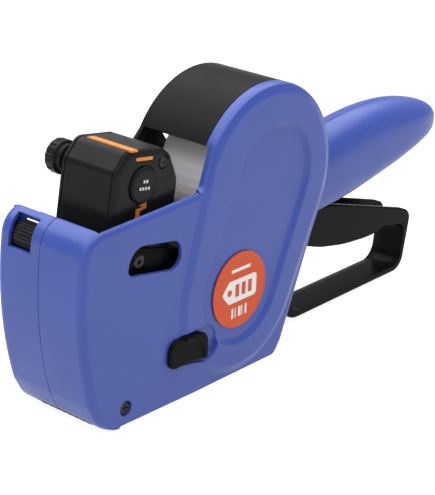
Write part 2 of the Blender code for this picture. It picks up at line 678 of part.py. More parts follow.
def head_trim():
    turned("head_cap", HEAD_CAP, [(-16.7, 5.7), (-16.5, 6.3), (-15.1, 6.5)], "black", 36)
    bar = [(-7.0, 11.6, 0.0), (-3.4, 11.6, 0.0), (-3.4, 12.3, 0.0), (-7.0, 12.3, 0.0)]
    prism("index_bar", head_outline(bar), -14.6, 6.1, "orange", HEAD_CAP)
    window = [(-4.7, 8.6, 0.5), (3.5, 8.6, 0.5), (3.5, 9.8, 0.5), (-4.7, 9.8, 0.5)]
    prism("index_window", head_outline(window), -15.6, -15.1, "orange", HEAD_CAP)
    prism("index_pointer", pointer_outline(0.0), -15.65, -15.3, "orange", HEAD_CAP)


def cross_screw(name, place, head_radius, y_head, y_tip, shank, kind="dark_steel", inward=1.0):
    """Pan-head screw with a cross recess; y_head is its outer face."""
    under = y_head + inward * 0.9
    profile = [(y_head, head_radius - 0.4), (y_head + inward * 0.3, head_radius)]
    profile += [(under, head_radius), (under, shank), (y_tip, shank)]
    if inward < 0.0:
        profile.reverse()
    made = turned(name, place, profile, kind, 20)
    arm, half = head_radius * 0.62, head_radius * 0.16
    low, high = sorted((y_head - inward * 1.0, y_head + inward * 0.5))
    x, z = place
    cut(made, block(name + "_slot_a", (x - arm, low, z - half), (x + arm, high, z + half)))
    return cut(made, block(name + "_slot_b", (x - half, low, z - arm), (x + half, high, z + arm)))


def screws():
    cross_screw("casing_screw_front", FRONT_SCREW, 2.5, -20.5, -15.5, 1.3)
    cross_screw("casing_screw_rear", REAR_SCREW, 2.5, FAR_REAR_Y - 0.4, -6.0, 1.2, inward=-1.0)
    cross_screw("casing_screw_handle", HANDLE_SCREW, 2.5, 11.4, -5.0, 1.2, inward=-1.0)
    cross_screw("head_plate_screw", in_head(9.2, 7.2), 2.1, -15.9, -13.8, 0.9)
    left = [(-17.4, 2.5), (-17.2, 2.8), (-17.1, 2.8), (-17.05, 1.25), (-14.2, 1.25)]
    turned("head_screw_left", HEAD_SCREW, left, "dark_steel", 20)
    right = [(9.1, 1.25), (11.65, 1.25), (11.7, 2.8), (11.9, 2.8), (12.2, 2.5)]
    turned("head_screw_right", HEAD_SCREW, right, "dark_steel", 20)


def print_bands():
    """Rubber type bands, each a loop round the selector shaft and the type bar."""
    top, bar = in_head(*SELECTOR), in_head(*TYPE_BAR)
    for i in range(BAND_COUNT):
        name = f"print_band_{i + 1}"
        low = -12.6 + BAND_PITCH * i
        band = prism(name, hull_of_two(top, 3.0, bar, 3.0, 20.0), low, low + BAND_WIDTH, "rubber", top)
        cut(band, prism(name + "_loop", hull_of_two(top, 2.1, bar, 2.1, 20.0), low - 1.0, low + 4.0))
    rod("type_bar", bar, 1.6, -13.5, 8.3, "steel", 16)


def selector():
    axis = in_head(*SELECTOR)
    shaft = [(-12.9, 1.3), (-12.4, 1.3), (-12.4, 1.9), (-9.9, 1.9), (-9.9, 1.3), (11.2, 1.3)]
    turned("selector_shaft", axis, shaft, "steel", 20)
    tube("detent_collar", axis, [(-3.2, 1.9), (-2.0, 1.9)], 1.35, "black", 20)
    knob = turned("selector_knob", axis, [(11.5, 5.6), (12.2, 6.0), (16.9, 6.3), (17.8, 5.4)], "black", 40)
    for i in range(12):
        angle = math.radians(30.0 * i)
        place = (axis[0] + 6.6 * math.cos(angle), axis[1] + 6.6 * math.sin(angle))
        cut(knob, rod(f"knob_groove_{i}", place, 0.8, 12.6, 20.0, None, 8))


def ink_parts():
    place = in_head(*INK)
    tube("ink_roller", place, [(-12.4, 2.5), (7.4, 2.5)], 1.2, "ink_foam", 24)
    rod("ink_axle", place, 1.05, -13.5, 8.3, "steel", 12)


# ------------------------------------------------------------- label path

def label_roll():
    tube("label_paper", ROLL, [(-11.5, PAPER_R), (10.0, PAPER_R)], CORE_R + 0.2, "paper", 48)
    tube("roll_core", ROLL, [(-12.0, CORE_R), (10.5, CORE_R)], CORE_R - 1.0, "card", 32)
    left = [(-19.1, 14.0), (-16.2, 14.0), (-16.2, 9.6), (-9.5, 9.6), (-8.5, 8.8)]
    tube("roll_hub_left", ROLL, left, 2.6, "black", 28)
    right = [(7.0, 8.8), (8.0, 9.6), (12.4, 9.6)]
    tube("roll_hub_right", ROLL, right, 2.6, "black", 28)


def platen():
    """Printing table under the head, with a rail reaching both casings."""
    corners = [(-103.0, 47.4, 1.5), (-71.0, 47.4, 1.5), (-71.0, 41.0, 1.0), (-103.0, 41.0, 1.0)]
    corners.reverse()
    table = prism("platen", filleted(corners), -13.0, 8.5, "black")
    rail = [(-98.0, 36.4), (-90.0, 36.4), (-90.0, 41.6), (-98.0, 41.6)]
    return join(table, prism("platen_rail", rail, LEFT_END, RIGHT_END))


def label_guide():
    """Curved black plate that leads the label strip from the roll to the platen."""
    upper = [(-46.0, 58.6), (-52.0, 52.6), (-58.0, 50.0), (-66.0, 49.0)]
    lower = [(-66.0, 47.8), (-58.0, 48.8), (-51.2, 51.4), (-45.0, 57.4)]
    guide = prism("label_guide", upper + lower, -12.0, 9.2, "black")
    return join(guide, rod("guide_rod", (-45.6, 58.0), 1.6, LEFT_END, REAR_END, None, 16))


def peel_plate():
    front = [(-105.4, 41.0), (-106.6, 30.0), (-104.6, 20.0), (-101.6, 12.4)]
    back = [(-100.8, 12.8), (-103.7, 20.4), (-105.7, 30.0), (-104.5, 41.0)]
    return prism("peel_plate", front + back, -12.0, 9.2, "steel")


def feed_wheel():
    """Toothed wheel that pulls the backing strip one label per squeeze."""
    wheel = tube("feed_wheel", FEED, [(-8.0, 7.0), (4.0, 7.0)], 1.65, "black", 24)
    for i in range(12):
        angle = math.radians(30.0 * i)
        place = (FEED[0] + 7.1 * math.cos(angle), FEED[1] + 7.1 * math.sin(angle))
        join(wheel, rod(f"feed_tooth_{i}", place, 1.1, -3.6, -0.4, None, 8))
    rod("feed_axle", FEED, 1.5, LEFT_END, RIGHT_END, "steel", 16)


def applicator():
    """Grooved rubber roller that presses the label down."""
    profile = []
    for i in range(8):
        low = -14.0 + 3.15 * i
        profile += [(low, APPLICATOR_R - 0.3), (low + 0.4, APPLICATOR_R), (low + 1.8, APPLICATOR_R)]
        profile += [(low + 2.2, APPLICATOR_R - 0.8), (low + 2.9, APPLICATOR_R - 0.8)]
    tube("applicator_roller", APPLICATOR, profile, 1.35, "rubber", 28)
    rod("applicator_axle", APPLICATOR, 1.2, LEFT_END, RIGHT_END, "steel", 16)


def position_wheel():
    """Ribbed thumbwheel behind the window in the nose."""
    count, deep, proud = 18, 4.5, 5.0
    outline = []
    for i in range(count * 4):
        radius = proud if i % 4 < 2 else deep
        angle = 2.0 * math.pi * (i + 0.5) / (count * 4)
        x = POSITION_WHEEL[0] + radius * math.cos(angle)
        z = POSITION_WHEEL[1] + radius * math.sin(angle)
        outline.append((x, z))
    wheel = prism("position_wheel", outline, 4.8, 13.8, "black", POSITION_WHEEL)
    cut(wheel, rod("position_bore", POSITION_WHEEL, 1.15, 0.0, 20.0, None, 12))
    rod("position_axle", POSITION_WHEEL, 1.0, 1.5, RIGHT_END, "steel", 12)


# ------------------------------------------------------------ base & latch

def bottom_cover():
    corners = [(-89.8, 0.6), (-12.4, 0.6), (-12.4, 2.6), (-89.8, 2.6)]
    cover = prism("bottom_cover", corners, -13.6, 10.6, "blue", COVER_PIN)
    join(cover, rod("cover_barrel", COVER_PIN, 2.2, -12.0, 9.0, None, 20))
    tab = block("cover_tab", (-66.0, -13.2, 2.0), (-64.5, -10.0, 9.0))
    join(cover, tab)
    cut(cover, rod("cover_bore", COVER_PIN, 1.15, -20.0, 20.0, None, 16))
    rod("cover_hinge_pin", COVER_PIN, 1.05, LEFT_END, REAR_END, "steel", 16)


def latch_button():
    """Sliding latch: thumb piece with a raised grip, neck through the side and an inner tongue."""
    x, z = LATCH
    cap = [(x - 10.6, z - 4.8, 4.0), (x + 0.6, z - 4.4, 12.0), (x + 10.4, z - 5.8, 3.0)]
    cap += [(x + 9.6, z + 6.6, 5.0), (x + 0.6, z + 5.6, 12.0), (x - 10.2, z + 7.2, 4.4)]
    outline = filleted(cap, 18.0)
    rings = [ring_at(outline, -21.3), ring_at(outline, -22.2), ring_at(offset(outline, 0.5), -22.6)]
    button = solid("latch_button", rings, "black")
    grip = [(x + 7.6, z - 4.9, 0.7), (x + 9.8, z - 5.2, 0.9), (x + 9.6, z + 6.0, 4.4)]
    grip += [(x - 2.2, z + 6.2, 0.6), (x - 2.4, z + 4.6, 0.6)]
    grip += [(x + 3.4, z + 3.6, 2.5), (x + 7.0, z - 0.4, 3.0)]
    lobe = filleted(grip, 18.0)
    rings = [ring_at(lobe, -22.0), ring_at(lobe, -22.7), ring_at(offset(lobe, 0.3), -23.2)]
    raised = solid("latch_grip", rings, None)
    neck = block("latch_neck", (-65.0, -21.8, 15.8), (-57.0, -18.8, 21.8))
    plate = block("latch_plate", (-66.5, -19.1, 4.8), (-56.0, -17.8, 23.6))
    arm = block("latch_arm", (-62.0, -18.2, 4.8), (-58.0, -10.6, 6.8))
    tongue = block("latch_tongue", (-64.2, -12.8, 4.8), (-60.0, -10.6, 6.8))
    join(button, raised, neck, plate, arm, tongue)
    zigzag_spring()
    return button


def zigzag_spring():
    """Small leaf spring that pushes the latch back to its closed place."""
    path = [(-55.6, -18.4, 12.0)]
    for i in range(6):
        path.append((-54.4 + 1.8 * i, -18.4, 9.4 if i % 2 else 14.6))
    path.append((-44.0, -18.4, 12.0))
    wire_along("latch_spring", path, 0.45, "steel", (0.0, 0.0))


def badge():
    turned("badge_disc", BADGE, [(-21.45, BADGE_R - 0.2), (-21.3, BADGE_R), (-21.0, BADGE_R)], "badge", 48)


def main():
    for existing in list(bpy.data.objects):
        bpy.data.objects.remove(existing)
    left_casing()
    right_casing()
    roll_hood()
    hood_hinge_pin()
    trigger_lever()
    lever_parts()
    return_spring()
    head_housing()
    head_side_plates()
    head_trim()
    screws()
    print_bands()
    selector()
    ink_parts()
    label_roll()
    platen()
    label_guide()
    peel_plate()
    feed_wheel()
    applicator()
    position_wheel()
    bottom_cover()
    latch_button()
    badge()


main()
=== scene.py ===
"""Looks of the price labeling gun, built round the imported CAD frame."""

import json
import math

import bpy
from mathutils import Matrix, Vector


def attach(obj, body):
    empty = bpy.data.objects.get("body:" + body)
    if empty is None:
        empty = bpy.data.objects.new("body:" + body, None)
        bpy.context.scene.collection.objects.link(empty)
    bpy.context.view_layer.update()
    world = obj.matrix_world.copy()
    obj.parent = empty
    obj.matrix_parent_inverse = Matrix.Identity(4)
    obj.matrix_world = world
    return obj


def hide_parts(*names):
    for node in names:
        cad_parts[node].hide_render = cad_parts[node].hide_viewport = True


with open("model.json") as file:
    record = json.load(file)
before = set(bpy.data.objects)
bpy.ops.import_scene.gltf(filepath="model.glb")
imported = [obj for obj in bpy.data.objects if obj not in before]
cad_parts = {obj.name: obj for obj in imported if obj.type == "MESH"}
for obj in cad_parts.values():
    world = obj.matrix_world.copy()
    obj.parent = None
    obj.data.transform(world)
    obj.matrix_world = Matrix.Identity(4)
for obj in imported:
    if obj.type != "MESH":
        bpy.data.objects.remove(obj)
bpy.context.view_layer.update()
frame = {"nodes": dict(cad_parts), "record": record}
MM = 0.001
CENTRE_Y = 1.5                  # added to every Y below, as in the CAD

# ---- casing, side view (X, Z), in mm in the frame of the CAD
ROLL = (-17.7, 72.8)            # centre of the roll housing
ROLL_R = 36.7
NOSE_TOP_FRONT = (-110.6, 76.0)
NOSE_TOP_REAR = (-53.6, 77.9)
NOSE_FOOT = (-101.9, 0.0)
NOSE_CURVE_R = 136.0            # bulging front of the nose
NOSE_CURVE_X = -113.5
NOSE_CURVE_Z = 50.0
NOSE_CURVE_TOP = 68.2
NOSE_CURVE_DROP = 57.2
BASE_STEP_X = -94.2
BASE_REST_X = -56.0
REAR_ANGLE = -12.0
REAR_BEND = (15.5, 52.4)
REAR_FOOT = (-5.8, 0.0)
FRONT_ANGLE = 147.0
REAR_CORNER_R = 8.0
NEAR_Y = -21.0                  # flat left side of the nose
BULGE_Y = -22.2                 # raised panel on the left side
DISH_Y = -20.7                  # floor of the shallow dish in that panel
RECESS_Y = -20.1                # floor of the thumb recess
FAR_NOSE_Y = 20.6
FAR_REAR_Y = 14.3
SEAM_Y = -0.2
SEAM_GAP = 0.14
WALL = 1.6
EDGE_R = 3.0
BASE_EDGE = 0.1
BADGE = (-32.0, 34.1)
BADGE_R = 14.8
PRINT_Y = (-21.49, -21.40)      # thickness of the printed marks on the badge
DISH_TOP = (-15.2, 73.2)
DISH_R = 20.4
HANDLE = (                      # (x, top, bottom, half width) along the handle
    (4.0, 69.0, 41.8, 11.0),
    (20.0, 72.5, 42.7, 11.3),
    (35.0, 75.4, 43.8, 11.6),
    (50.0, 77.5, 45.5, 11.8),
    (65.0, 78.8, 48.2, 11.8),
    (80.0, 78.6, 51.4, 11.8),
    (92.0, 77.2, 54.6, 11.6),
    (101.0, 75.2, 57.2, 10.8),
    (107.5, 73.2, 59.2, 9.2),
    (112.0, 70.6, 61.4, 6.6),
    (114.4, 67.0, 64.0, 2.6),
)
HANDLE_WALL = 2.0
SPRING_WIRE_R = 0.53
LATCH_WIRE_R = 0.36

PIVOT = (-14.0, 38.0)
HEAD_SCREW = (-82.0, 58.3)
HEAD_CAP = (-79.0, 85.3)
HEAD_TILT = 8.6
TRIGGER_Y = 8.0
HEAD_NEAR_Y = -15.5
SELECTOR = (-8.8, 3.4)
HOOD_PIN = (15.6, 80.1)
HOOD_START = 7.5
HOOD_END = 147.0
APPLICATOR = (-99.0, 5.6)
APPLICATOR_R = 4.6
POSITION_WHEEL = (-106.9, 67.2)
LATCH = (-60.4, 18.6)
FRONT_SCREW = (-91.6, 7.0)
REAR_SCREW = (-6.0, 16.0)
HANDLE_SCREW = (88.0, 67.0)


# ------------------------------------------------------------- materials

class Nodes:
    """Short way to wire one material."""

    def __init__(self, name):
        self.material = bpy.data.materials.new(name)
        self.material.use_nodes = True
        self.tree = self.material.node_tree
        self.shader = self.tree.nodes["Principled BSDF"]
        self.place = self.add("ShaderNodeTexCoord").outputs["Object"]

    def add(self, kind, **settings):
        node = self.tree.nodes.new(kind)
        for key, value in settings.items():
            setattr(node, key, value)
        return node

    def link(self, source, target):
        self.tree.links.new(source, target)

    def noise(self, scale, detail=3.0, roughness=0.5, stretch=None):
        node = self.add("ShaderNodeTexNoise")
        node.inputs["Scale"].default_value = scale
        node.inputs["Detail"].default_value = detail
        node.inputs["Roughness"].default_value = roughness
        source = self.place
        if stretch:
            mapping = self.add("ShaderNodeMapping")
            mapping.inputs["Scale"].default_value = stretch
            self.link(source, mapping.inputs["Vector"])
            source = mapping.outputs["Vector"]
        self.link(source, node.inputs["Vector"])
        return node.outputs["Fac"]

    def ramp(self, value, low, high, out_low, out_high):
        node = self.add("ShaderNodeMapRange")
        node.inputs["From Min"].default_value = low
        node.inputs["From Max"].default_value = high
        node.inputs["To Min"].default_value = out_low
        node.inputs["To Max"].default_value = out_high
        self.link(value, node.inputs["Value"])
        return node.outputs["Result"]

    def mix(self, factor, first, second):
        node = self.add("ShaderNodeMix", data_type="RGBA")
        self.link(factor, node.inputs[0])
        for value, socket in ((first, node.inputs[6]), (second, node.inputs[7])):
            if isinstance(value, tuple):
                socket.default_value = (*value, 1.0)
            else:
                self.link(value, socket)
        return node.outputs[2]

    def math(self, operation, first, second=0.0):
        node = self.add("ShaderNodeMath", operation=operation)
        for value, socket in zip((first, second), node.inputs):
            if isinstance(value, (int, float)):
                socket.default_value = value
            else:
                self.link(value, socket)
        return node.outputs[0]

    def edge(self, radius):
        """(mask that is 1 on rounded edges, softened normal)."""
        bevel = self.add("ShaderNodeBevel", samples=4)
        bevel.inputs["Radius"].default_value = radius
        geometry = self.add("ShaderNodeNewGeometry")
        dot = self.add("ShaderNodeVectorMath", operation="DOT_PRODUCT")
        self.link(bevel.outputs["Normal"], dot.inputs[0])
        self.link(geometry.outputs["Normal"], dot.inputs[1])
        return self.ramp(dot.outputs["Value"], 0.975, 0.80, 0.0, 1.0), bevel.outputs["Normal"]

    def bump(self, height, distance, strength, normal=None):
        node = self.add("ShaderNodeBump")
        node.inputs["Distance"].default_value = distance
        node.inputs["Strength"].default_value = strength
        self.link(height, node.inputs["Height"])
        if normal:
            self.link(normal, node.inputs["Normal"])
        return node.outputs["Normal"]


def plastic(name, colour, roughness, grain=2600.0, depth=0.012, wear=0.10, edge=0.35, shine=0.5):
    """Moulded plastic: fine grain, faint mottling, paler rubbed edges."""
    n = Nodes(name)
    worn, soft = n.edge(edge * MM)
    cloud = n.noise(38.0, 4.0, 0.6)
    speck = n.noise(grain, 2.0)
    pale = tuple(c + (1.0 - c) * wear for c in colour)
    dull = tuple(c * 0.93 for c in colour)
    base = n.mix(n.ramp(cloud, 0.35, 0.65, 0.0, 1.0), dull, colour)
    patchy = n.math("MULTIPLY", worn, n.ramp(n.noise(420.0, 3.0, 0.7), 0.42, 0.62, 0.1, 1.0))
    n.link(n.mix(patchy, base, pale), n.shader.inputs["Base Color"])
    scuffs = n.ramp(n.noise(90.0, 5.0, 0.65), 0.3, 0.7, roughness - 0.05, roughness + 0.06)
    n.link(scuffs, n.shader.inputs["Roughness"])
    n.link(n.bump(speck, depth * MM, 0.35, soft), n.shader.inputs["Normal"])
    n.shader.inputs["Specular IOR Level"].default_value = shine
    return n.material


def metal(name, colour, roughness, stretch, wear_colour=None):
    """Metal with fine drawn or turned lines and faint stains."""
    n = Nodes(name)
    n.shader.inputs["Metallic"].default_value = 1.0
    worn, soft = n.edge(0.2 * MM)
    lines = n.noise(900.0, 3.0, 0.6, stretch)
    stain = n.noise(160.0, 4.0, 0.6)
    dark = tuple(c * 0.72 for c in colour)
    base = n.mix(n.ramp(stain, 0.35, 0.7, 0.0, 1.0), colour, dark)
    bright = wear_colour or tuple(min(1.0, c * 1.25) for c in colour)
    n.link(n.mix(worn, base, bright), n.shader.inputs["Base Color"])
    n.link(n.ramp(lines, 0.3, 0.7, roughness - 0.08, roughness + 0.1), n.shader.inputs["Roughness"])
    n.link(n.bump(lines, 0.01 * MM, 0.4, soft), n.shader.inputs["Normal"])
    return n.material


def rough_stuff(name, colour, roughness, scale, depth, contrast=0.8):
    """Rubber, foam, card or paper: matt with a visible grain."""
    n = Nodes(name)
    grain = n.noise(scale, 5.0, 0.65)
    shade = tuple(c * contrast for c in colour)
    n.link(n.mix(n.ramp(grain, 0.35, 0.65, 0.0, 1.0), shade, colour), n.shader.inputs["Base Color"])
    n.link(n.ramp(grain, 0.2, 0.8, roughness - 0.06, roughness + 0.06), n.shader.inputs["Roughness"])
    n.link(n.bump(grain, depth * MM, 0.5), n.shader.inputs["Normal"])
    return n.material


def wound_paper():
    """Roll of labels: fibres all over, and the edges of its turns on both sides."""
    n = Nodes("wound_paper")
    fibre = n.noise(1500.0, 5.0, 0.7)
    mapping = n.add("ShaderNodeMapping")
    mapping.inputs["Location"].default_value = (-ROLL[0] * MM, 0.0, -ROLL[1] * MM)
    n.link(n.place, mapping.inputs["Vector"])
    rings = n.add("ShaderNodeTexWave", wave_type="RINGS", rings_direction="Y")
    rings.inputs["Scale"].default_value = 420.0
    rings.inputs["Distortion"].default_value = 0.6
    n.link(mapping.outputs["Vector"], rings.inputs["Vector"])
    turns = n.ramp(rings.outputs["Fac"], 0.0, 0.6, 0.0, 1.0)
    colour = n.mix(turns, (0.76, 0.735, 0.74), (0.84, 0.81, 0.815))
    fibres = n.ramp(fibre, 0.3, 0.7, 0.0, 0.3)
    n.link(n.mix(fibres, colour, (0.88, 0.86, 0.865)), n.shader.inputs["Base Color"])
    n.link(n.ramp(fibre, 0.2, 0.8, 0.70, 0.85), n.shader.inputs["Roughness"])
    n.link(n.bump(fibre, 0.02 * MM, 0.4), n.shader.inputs["Normal"])
    return n.material


BLUE = plastic(
    "blue_plastic_fine", (0.034, 0.066, 0.310), 0.34,
    wear=0.07, edge=0.5, shine=0.40,
)
BLACK = plastic(
    "black_plastic_satin", (0.009, 0.009, 0.010), 0.26,
    depth=0.008, wear=0.05, shine=0.10,
)
HOOD_BLACK = plastic(
    "black_plastic_hood", (0.011, 0.011, 0.012), 0.34,
    depth=0.010, wear=0.04, shine=0.045,
)
# Darker copy of the black plastic: its low base colour is painted shade, set to the trigger's look in the
# shade under the handle; the latch uses it too.
LEVER_SHADED_BLACK = plastic(
    "black_plastic_lever_shaded", (0.004, 0.004, 0.0042), 0.26,
    depth=0.008, wear=0.03, shine=0.04,
)
ORANGE = plastic(
    "orange_plastic_fine", (0.62, 0.20, 0.030), 0.42,
    wear=0.10, edge=0.15, shine=0.3,
)
BADGE_RED = plastic(
    "badge_print_red", (0.54, 0.070, 0.014), 0.42,
    depth=0.006, wear=0.05, edge=0.1, shine=0.2,
)
BADGE_WHITE = plastic(
    "badge_print_white", (0.70, 0.68, 0.67), 0.45,
    depth=0.006, wear=0.0, edge=0.1, shine=0.3,
)
MARK_WHITE = plastic(
    "mark_print_white", (0.60, 0.60, 0.60), 0.5,
    depth=0.006, wear=0.0, edge=0.1, shine=0.3,
)
PAPER = wound_paper()
CARD = rough_stuff("card_wound", (0.36, 0.26, 0.17), 0.85, 900.0, 0.03)
STEEL = metal("steel_drawn", (0.56, 0.57, 0.58), 0.30, (1.0, 40.0, 1.0))
DARK_STEEL = metal("steel_black", (0.035, 0.035, 0.038), 0.34, (1.0, 6.0, 1.0), (0.20, 0.20, 0.21))
SCREW_BLACK = metal("steel_screw_black", (0.035, 0.035, 0.037), 0.24, (1.0, 6.0, 1.0))
# Black steel arms darkened further to near black: painted shade of the side slot's interior, where they
# sit.
ARM_SHADE_BLACK = plastic(
    "steel_arm_painted_shade", (0.003, 0.003, 0.0032), 0.36,
    depth=0.02, wear=0.1, edge=0.15, shine=0.03,
)
RUBBER = rough_stuff("rubber_moulded", (0.018, 0.018, 0.019), 0.68, 700.0, 0.03)
FOAM = rough_stuff("foam_inked", (0.022, 0.020, 0.055), 0.88, 500.0, 0.10)


# ------------------------------------------------------------- outlines

def arc(centre, radius, start, end, step=2.5):
    count = max(2, math.ceil(abs(end - start) / step))
    angles = [math.radians(start + (end - start) * i / count) for i in range(count + 1)]
    return [(centre[0] + radius * math.cos(a), centre[1] + radius * math.sin(a)) for a in angles]


def circle(centre, radius, count=72):
    return arc(centre, radius, 0.0, 360.0, 360.0 / count)[:-1]


def filleted(corners, step=7.5):
    """Closed outline from (x, z, radius) corners; a radius of 0 keeps the point."""
    points = []
    for i, (x, z, radius) in enumerate(corners):
        if radius == 0.0:
            points.append((x, z))
            continue
        before = corners[i - 1]
        after = corners[(i + 1) % len(corners)]
        a = math.atan2(before[1] - z, before[0] - x)
        b = math.atan2(after[1] - z, after[0] - x)
        turn = (b - a + math.pi) % (2 * math.pi) - math.pi
        reach = radius / math.tan(abs(turn) / 2)
        middle = a + turn / 2
        far = radius / math.sin(abs(turn) / 2)
        centre = (x + far * math.cos(middle), z + far * math.sin(middle))
        first = (x + reach * math.cos(a), z + reach * math.sin(a))
        last = (x + reach * math.cos(b), z + reach * math.sin(b))
        start = math.degrees(math.atan2(first[1] - centre[1], first[0] - centre[0]))
        end = math.degrees(math.atan2(last[1] - centre[1], last[0] - centre[0]))
        sweep = (end - start + 180.0) % 360.0 - 180.0
        points += arc(centre, radius, start, start + sweep, step)
    return points


def hull_of_two(a, radius_a, b, radius_b, step=4.0):
    dx, dz = b[0] - a[0], b[1] - a[1]
    along = math.degrees(math.atan2(dz, dx))
    lean = math.degrees(math.acos((radius_a - radius_b) / math.hypot(dx, dz)))
    round_a = arc(a, radius_a, along + lean, along + 360.0 - lean, step)
    round_b = arc(b, radius_b, along - lean, along + lean, step)
    return round_a + round_b


def offset(outline, distance):
    """Moves a counter-clockwise outline inwards by distance, point by point."""
    moved = []
    for i, (x, z) in enumerate(outline):
        px, pz = outline[i - 1]
        nx, nz = outline[(i + 1) % len(outline)]
        in_x, in_z = x - px, z - pz
        out_x, out_z = nx - x, nz - z
        in_length, out_length = math.hypot(in_x, in_z), math.hypot(out_x, out_z)
        n1 = (-in_z / in_length, in_x / in_length)
        n2 = (-out_z / out_length, out_x / out_length)
        scale = distance / (1.0 + n1[0] * n2[0] + n1[1] * n2[1])
        moved.append((x + (n1[0] + n2[0]) * scale, z + (n1[1] + n2[1]) * scale))
    return moved


def nose_curve(z):
    return NOSE_CURVE_X + NOSE_CURVE_R - math.sqrt(NOSE_CURVE_R**2 - (z - NOSE_CURVE_Z) ** 2)


def casing_outline():
    steps = 30
    levels = [NOSE_CURVE_TOP - NOSE_CURVE_DROP * i / steps for i in range(steps + 1)]
    front = [(nose_curve(z), z, 0.0) for z in levels]
    roll = arc(ROLL, ROLL_R, REAR_ANGLE, FRONT_ANGLE, 2.0)
    corners = [(*roll[-1], 0.0), (*NOSE_TOP_REAR, 3.0), (*NOSE_TOP_FRONT, 9.8), *front]
    corners += [(*NOSE_FOOT, 11.5), (BASE_STEP_X, 0.0, 0.0), (BASE_STEP_X + 0.8, 0.5, 0.0)]
    corners += [(BASE_REST_X, 0.0, 0.0), (*REAR_FOOT, REAR_CORNER_R)]
    corners += [(*REAR_BEND, 100.0), (*roll[0], 0.0)]
    return filleted(corners, 5.0) + roll[1:-1]


def in_head(x, z):
    tilt = math.radians(HEAD_TILT)
    return (
        HEAD_CAP[0] + x * math.cos(tilt) + z * math.sin(tilt),
        HEAD_CAP[1] - x * math.sin(tilt) + z * math.cos(tilt),
    )


def head_outline(corners, step=7.5):
    return [in_head(x, z) for x, z in filleted(corners, step)]


# --------------------------------------------------------------- solids

def solid(name, rings):
    """Closed mesh through rings of (x, y, z) points in mm, high Y first for a Y prism."""
    points = [(x * MM, (y + CENTRE_Y) * MM, z * MM) for ring in rings for x, y, z in ring]
    count = len(rings[0])
    faces = []
    for level in range(len(rings) - 1):
        low, high = level * count, (level + 1) * count
        for i in range(count):
            j = (i + 1) % count
            faces.append((low + i, low + j, high + j, high + i))
    faces.append(tuple(reversed(range(count))))
    faces.append(tuple(range(len(points) - count, len(points))))
    mesh = bpy.data.meshes.new(name)
    mesh.from_pydata(points, [], faces)
    mesh.update()
    made = bpy.data.objects.new(name, mesh)
    bpy.context.scene.collection.objects.link(made)
    return made


def ring_at(outline, y):
    return [(x, y, z) for x, z in outline]


def prism(name, outline, y_low, y_high):
    return solid(name, [ring_at(outline, y_high), ring_at(outline, y_low)])


def block(name, low, high):
    outline = [(low[0], low[2]), (high[0], low[2]), (high[0], high[2]), (low[0], high[2])]
    return prism(name, outline, low[1], high[1])


def rod(name, centre, radius, y_low, y_high, count=48):
    return prism(name, circle(centre, radius, count), y_low, y_high)


def turned(name, centre, profile, count=64):
    return solid(name, [ring_at(circle(centre, radius, count), y) for y, radius in reversed(profile)])


def soft_prism(name, outline, y_low, y_high, edge, both=True, steps=4):
    """Prism whose long edges are rounded by edge, on both sides or only the low-Y one."""
    rings = []
    angles = [90.0 * i / steps for i in range(steps + 1)]
    if both:
        for angle in angles:
            turn = math.radians(90.0 - angle)
            inner = offset(outline, edge * (1 - math.cos(turn)))
            rings.append(ring_at(inner, y_high - edge * (1 - math.sin(turn))))
    else:
        rings.append(ring_at(outline, y_high))
    for angle in angles:
        turn = math.radians(angle)
        inner = offset(outline, edge * (1 - math.cos(turn)))
        rings.append(ring_at(inner, y_low + edge * (1 - math.sin(turn))))
    return solid(name, rings)


def boolean(target, tool, operation):
    step = target.modifiers.new(tool.name, "BOOLEAN")
    step.operation = operation
    step.object = tool
    step.solver = "MANIFOLD"
    return target


def cut(target, *tools):
    for tool in tools:
        boolean(target, tool, "DIFFERENCE")
    return target


def join(target, *tools):
    for tool in tools:
        boolean(target, tool, "UNION")
    return target


def keep(target, tool):
    return boolean(target, tool, "INTERSECT")


def bake(made):
    """Applies the modifiers and removes the tools they used."""
    bpy.context.view_layer.update()
    graph = bpy.context.evaluated_depsgraph_get()
    mesh = bpy.data.meshes.new_from_object(made.evaluated_get(graph))
    tools = set()

    def gather(piece):
        for step in piece.modifiers:
            if step.type == "BOOLEAN":
                tools.add(step.object)
                gather(step.object)

    gather(made)
    made.modifiers.clear()
    made.data = mesh
    for tool in tools:
        bpy.data.objects.remove(tool)
    return made


def piece(made, body, material, slot, nodes=(), sharp=32.0):
    """Bakes a piece, shades it and hands it to the frame."""
    bake(made)
    mesh = made.data
    mesh.materials.clear()
    mesh.materials.append(material)
    mesh.shade_smooth()
    mesh.set_sharp_from_angle(angle=math.radians(sharp))
    normals = made.modifiers.new("normals", "WEIGHTED_NORMAL")
    normals.keep_sharp = True
    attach(made, body)
    if nodes:
        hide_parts(*nodes)
    return made


# -------------------------------------------------------------- casings

def smoothstep(t):
    return t * t * (3.0 - 2.0 * t)


def slope(outline, y_low, y_high, width, steps=8):
    """Rings of a side wall that eases from y_high at the outline to y_low, width further in."""
    rings = []
    for i in range(steps + 1):
        t = i / steps
        rings.append(ring_at(offset(outline, width * t), y_high + (y_low - y_high) * smoothstep(t)))
    return rings


def base_level(z, z_start):
    """Height of a point of a rounded edge; round the base the edge is tighter."""
    tight = BASE_EDGE + (1.0 - BASE_EDGE) * smoothstep(min(1.0, z_start / 3.0))
    return z_start + tight * (z - z_start)


def rounded_side(name, outline, side_y, inner_y, edge):
    inward = 1.0 if inner_y > side_y else -1.0
    rings = [ring_at(outline, inner_y)]
    for i in range(11):
        turn = math.radians(9.0 * i)
        level = side_y + inward * edge * (1.0 - math.sin(turn))
        moved = offset(outline, edge * (1.0 - math.cos(turn)))
        rings.append([(x, level, base_level(z, z_start)) for (x, z), (_, z_start) in zip(moved, outline)])
    if inward < 0.0:
        rings.reverse()
    return solid(name, rings)


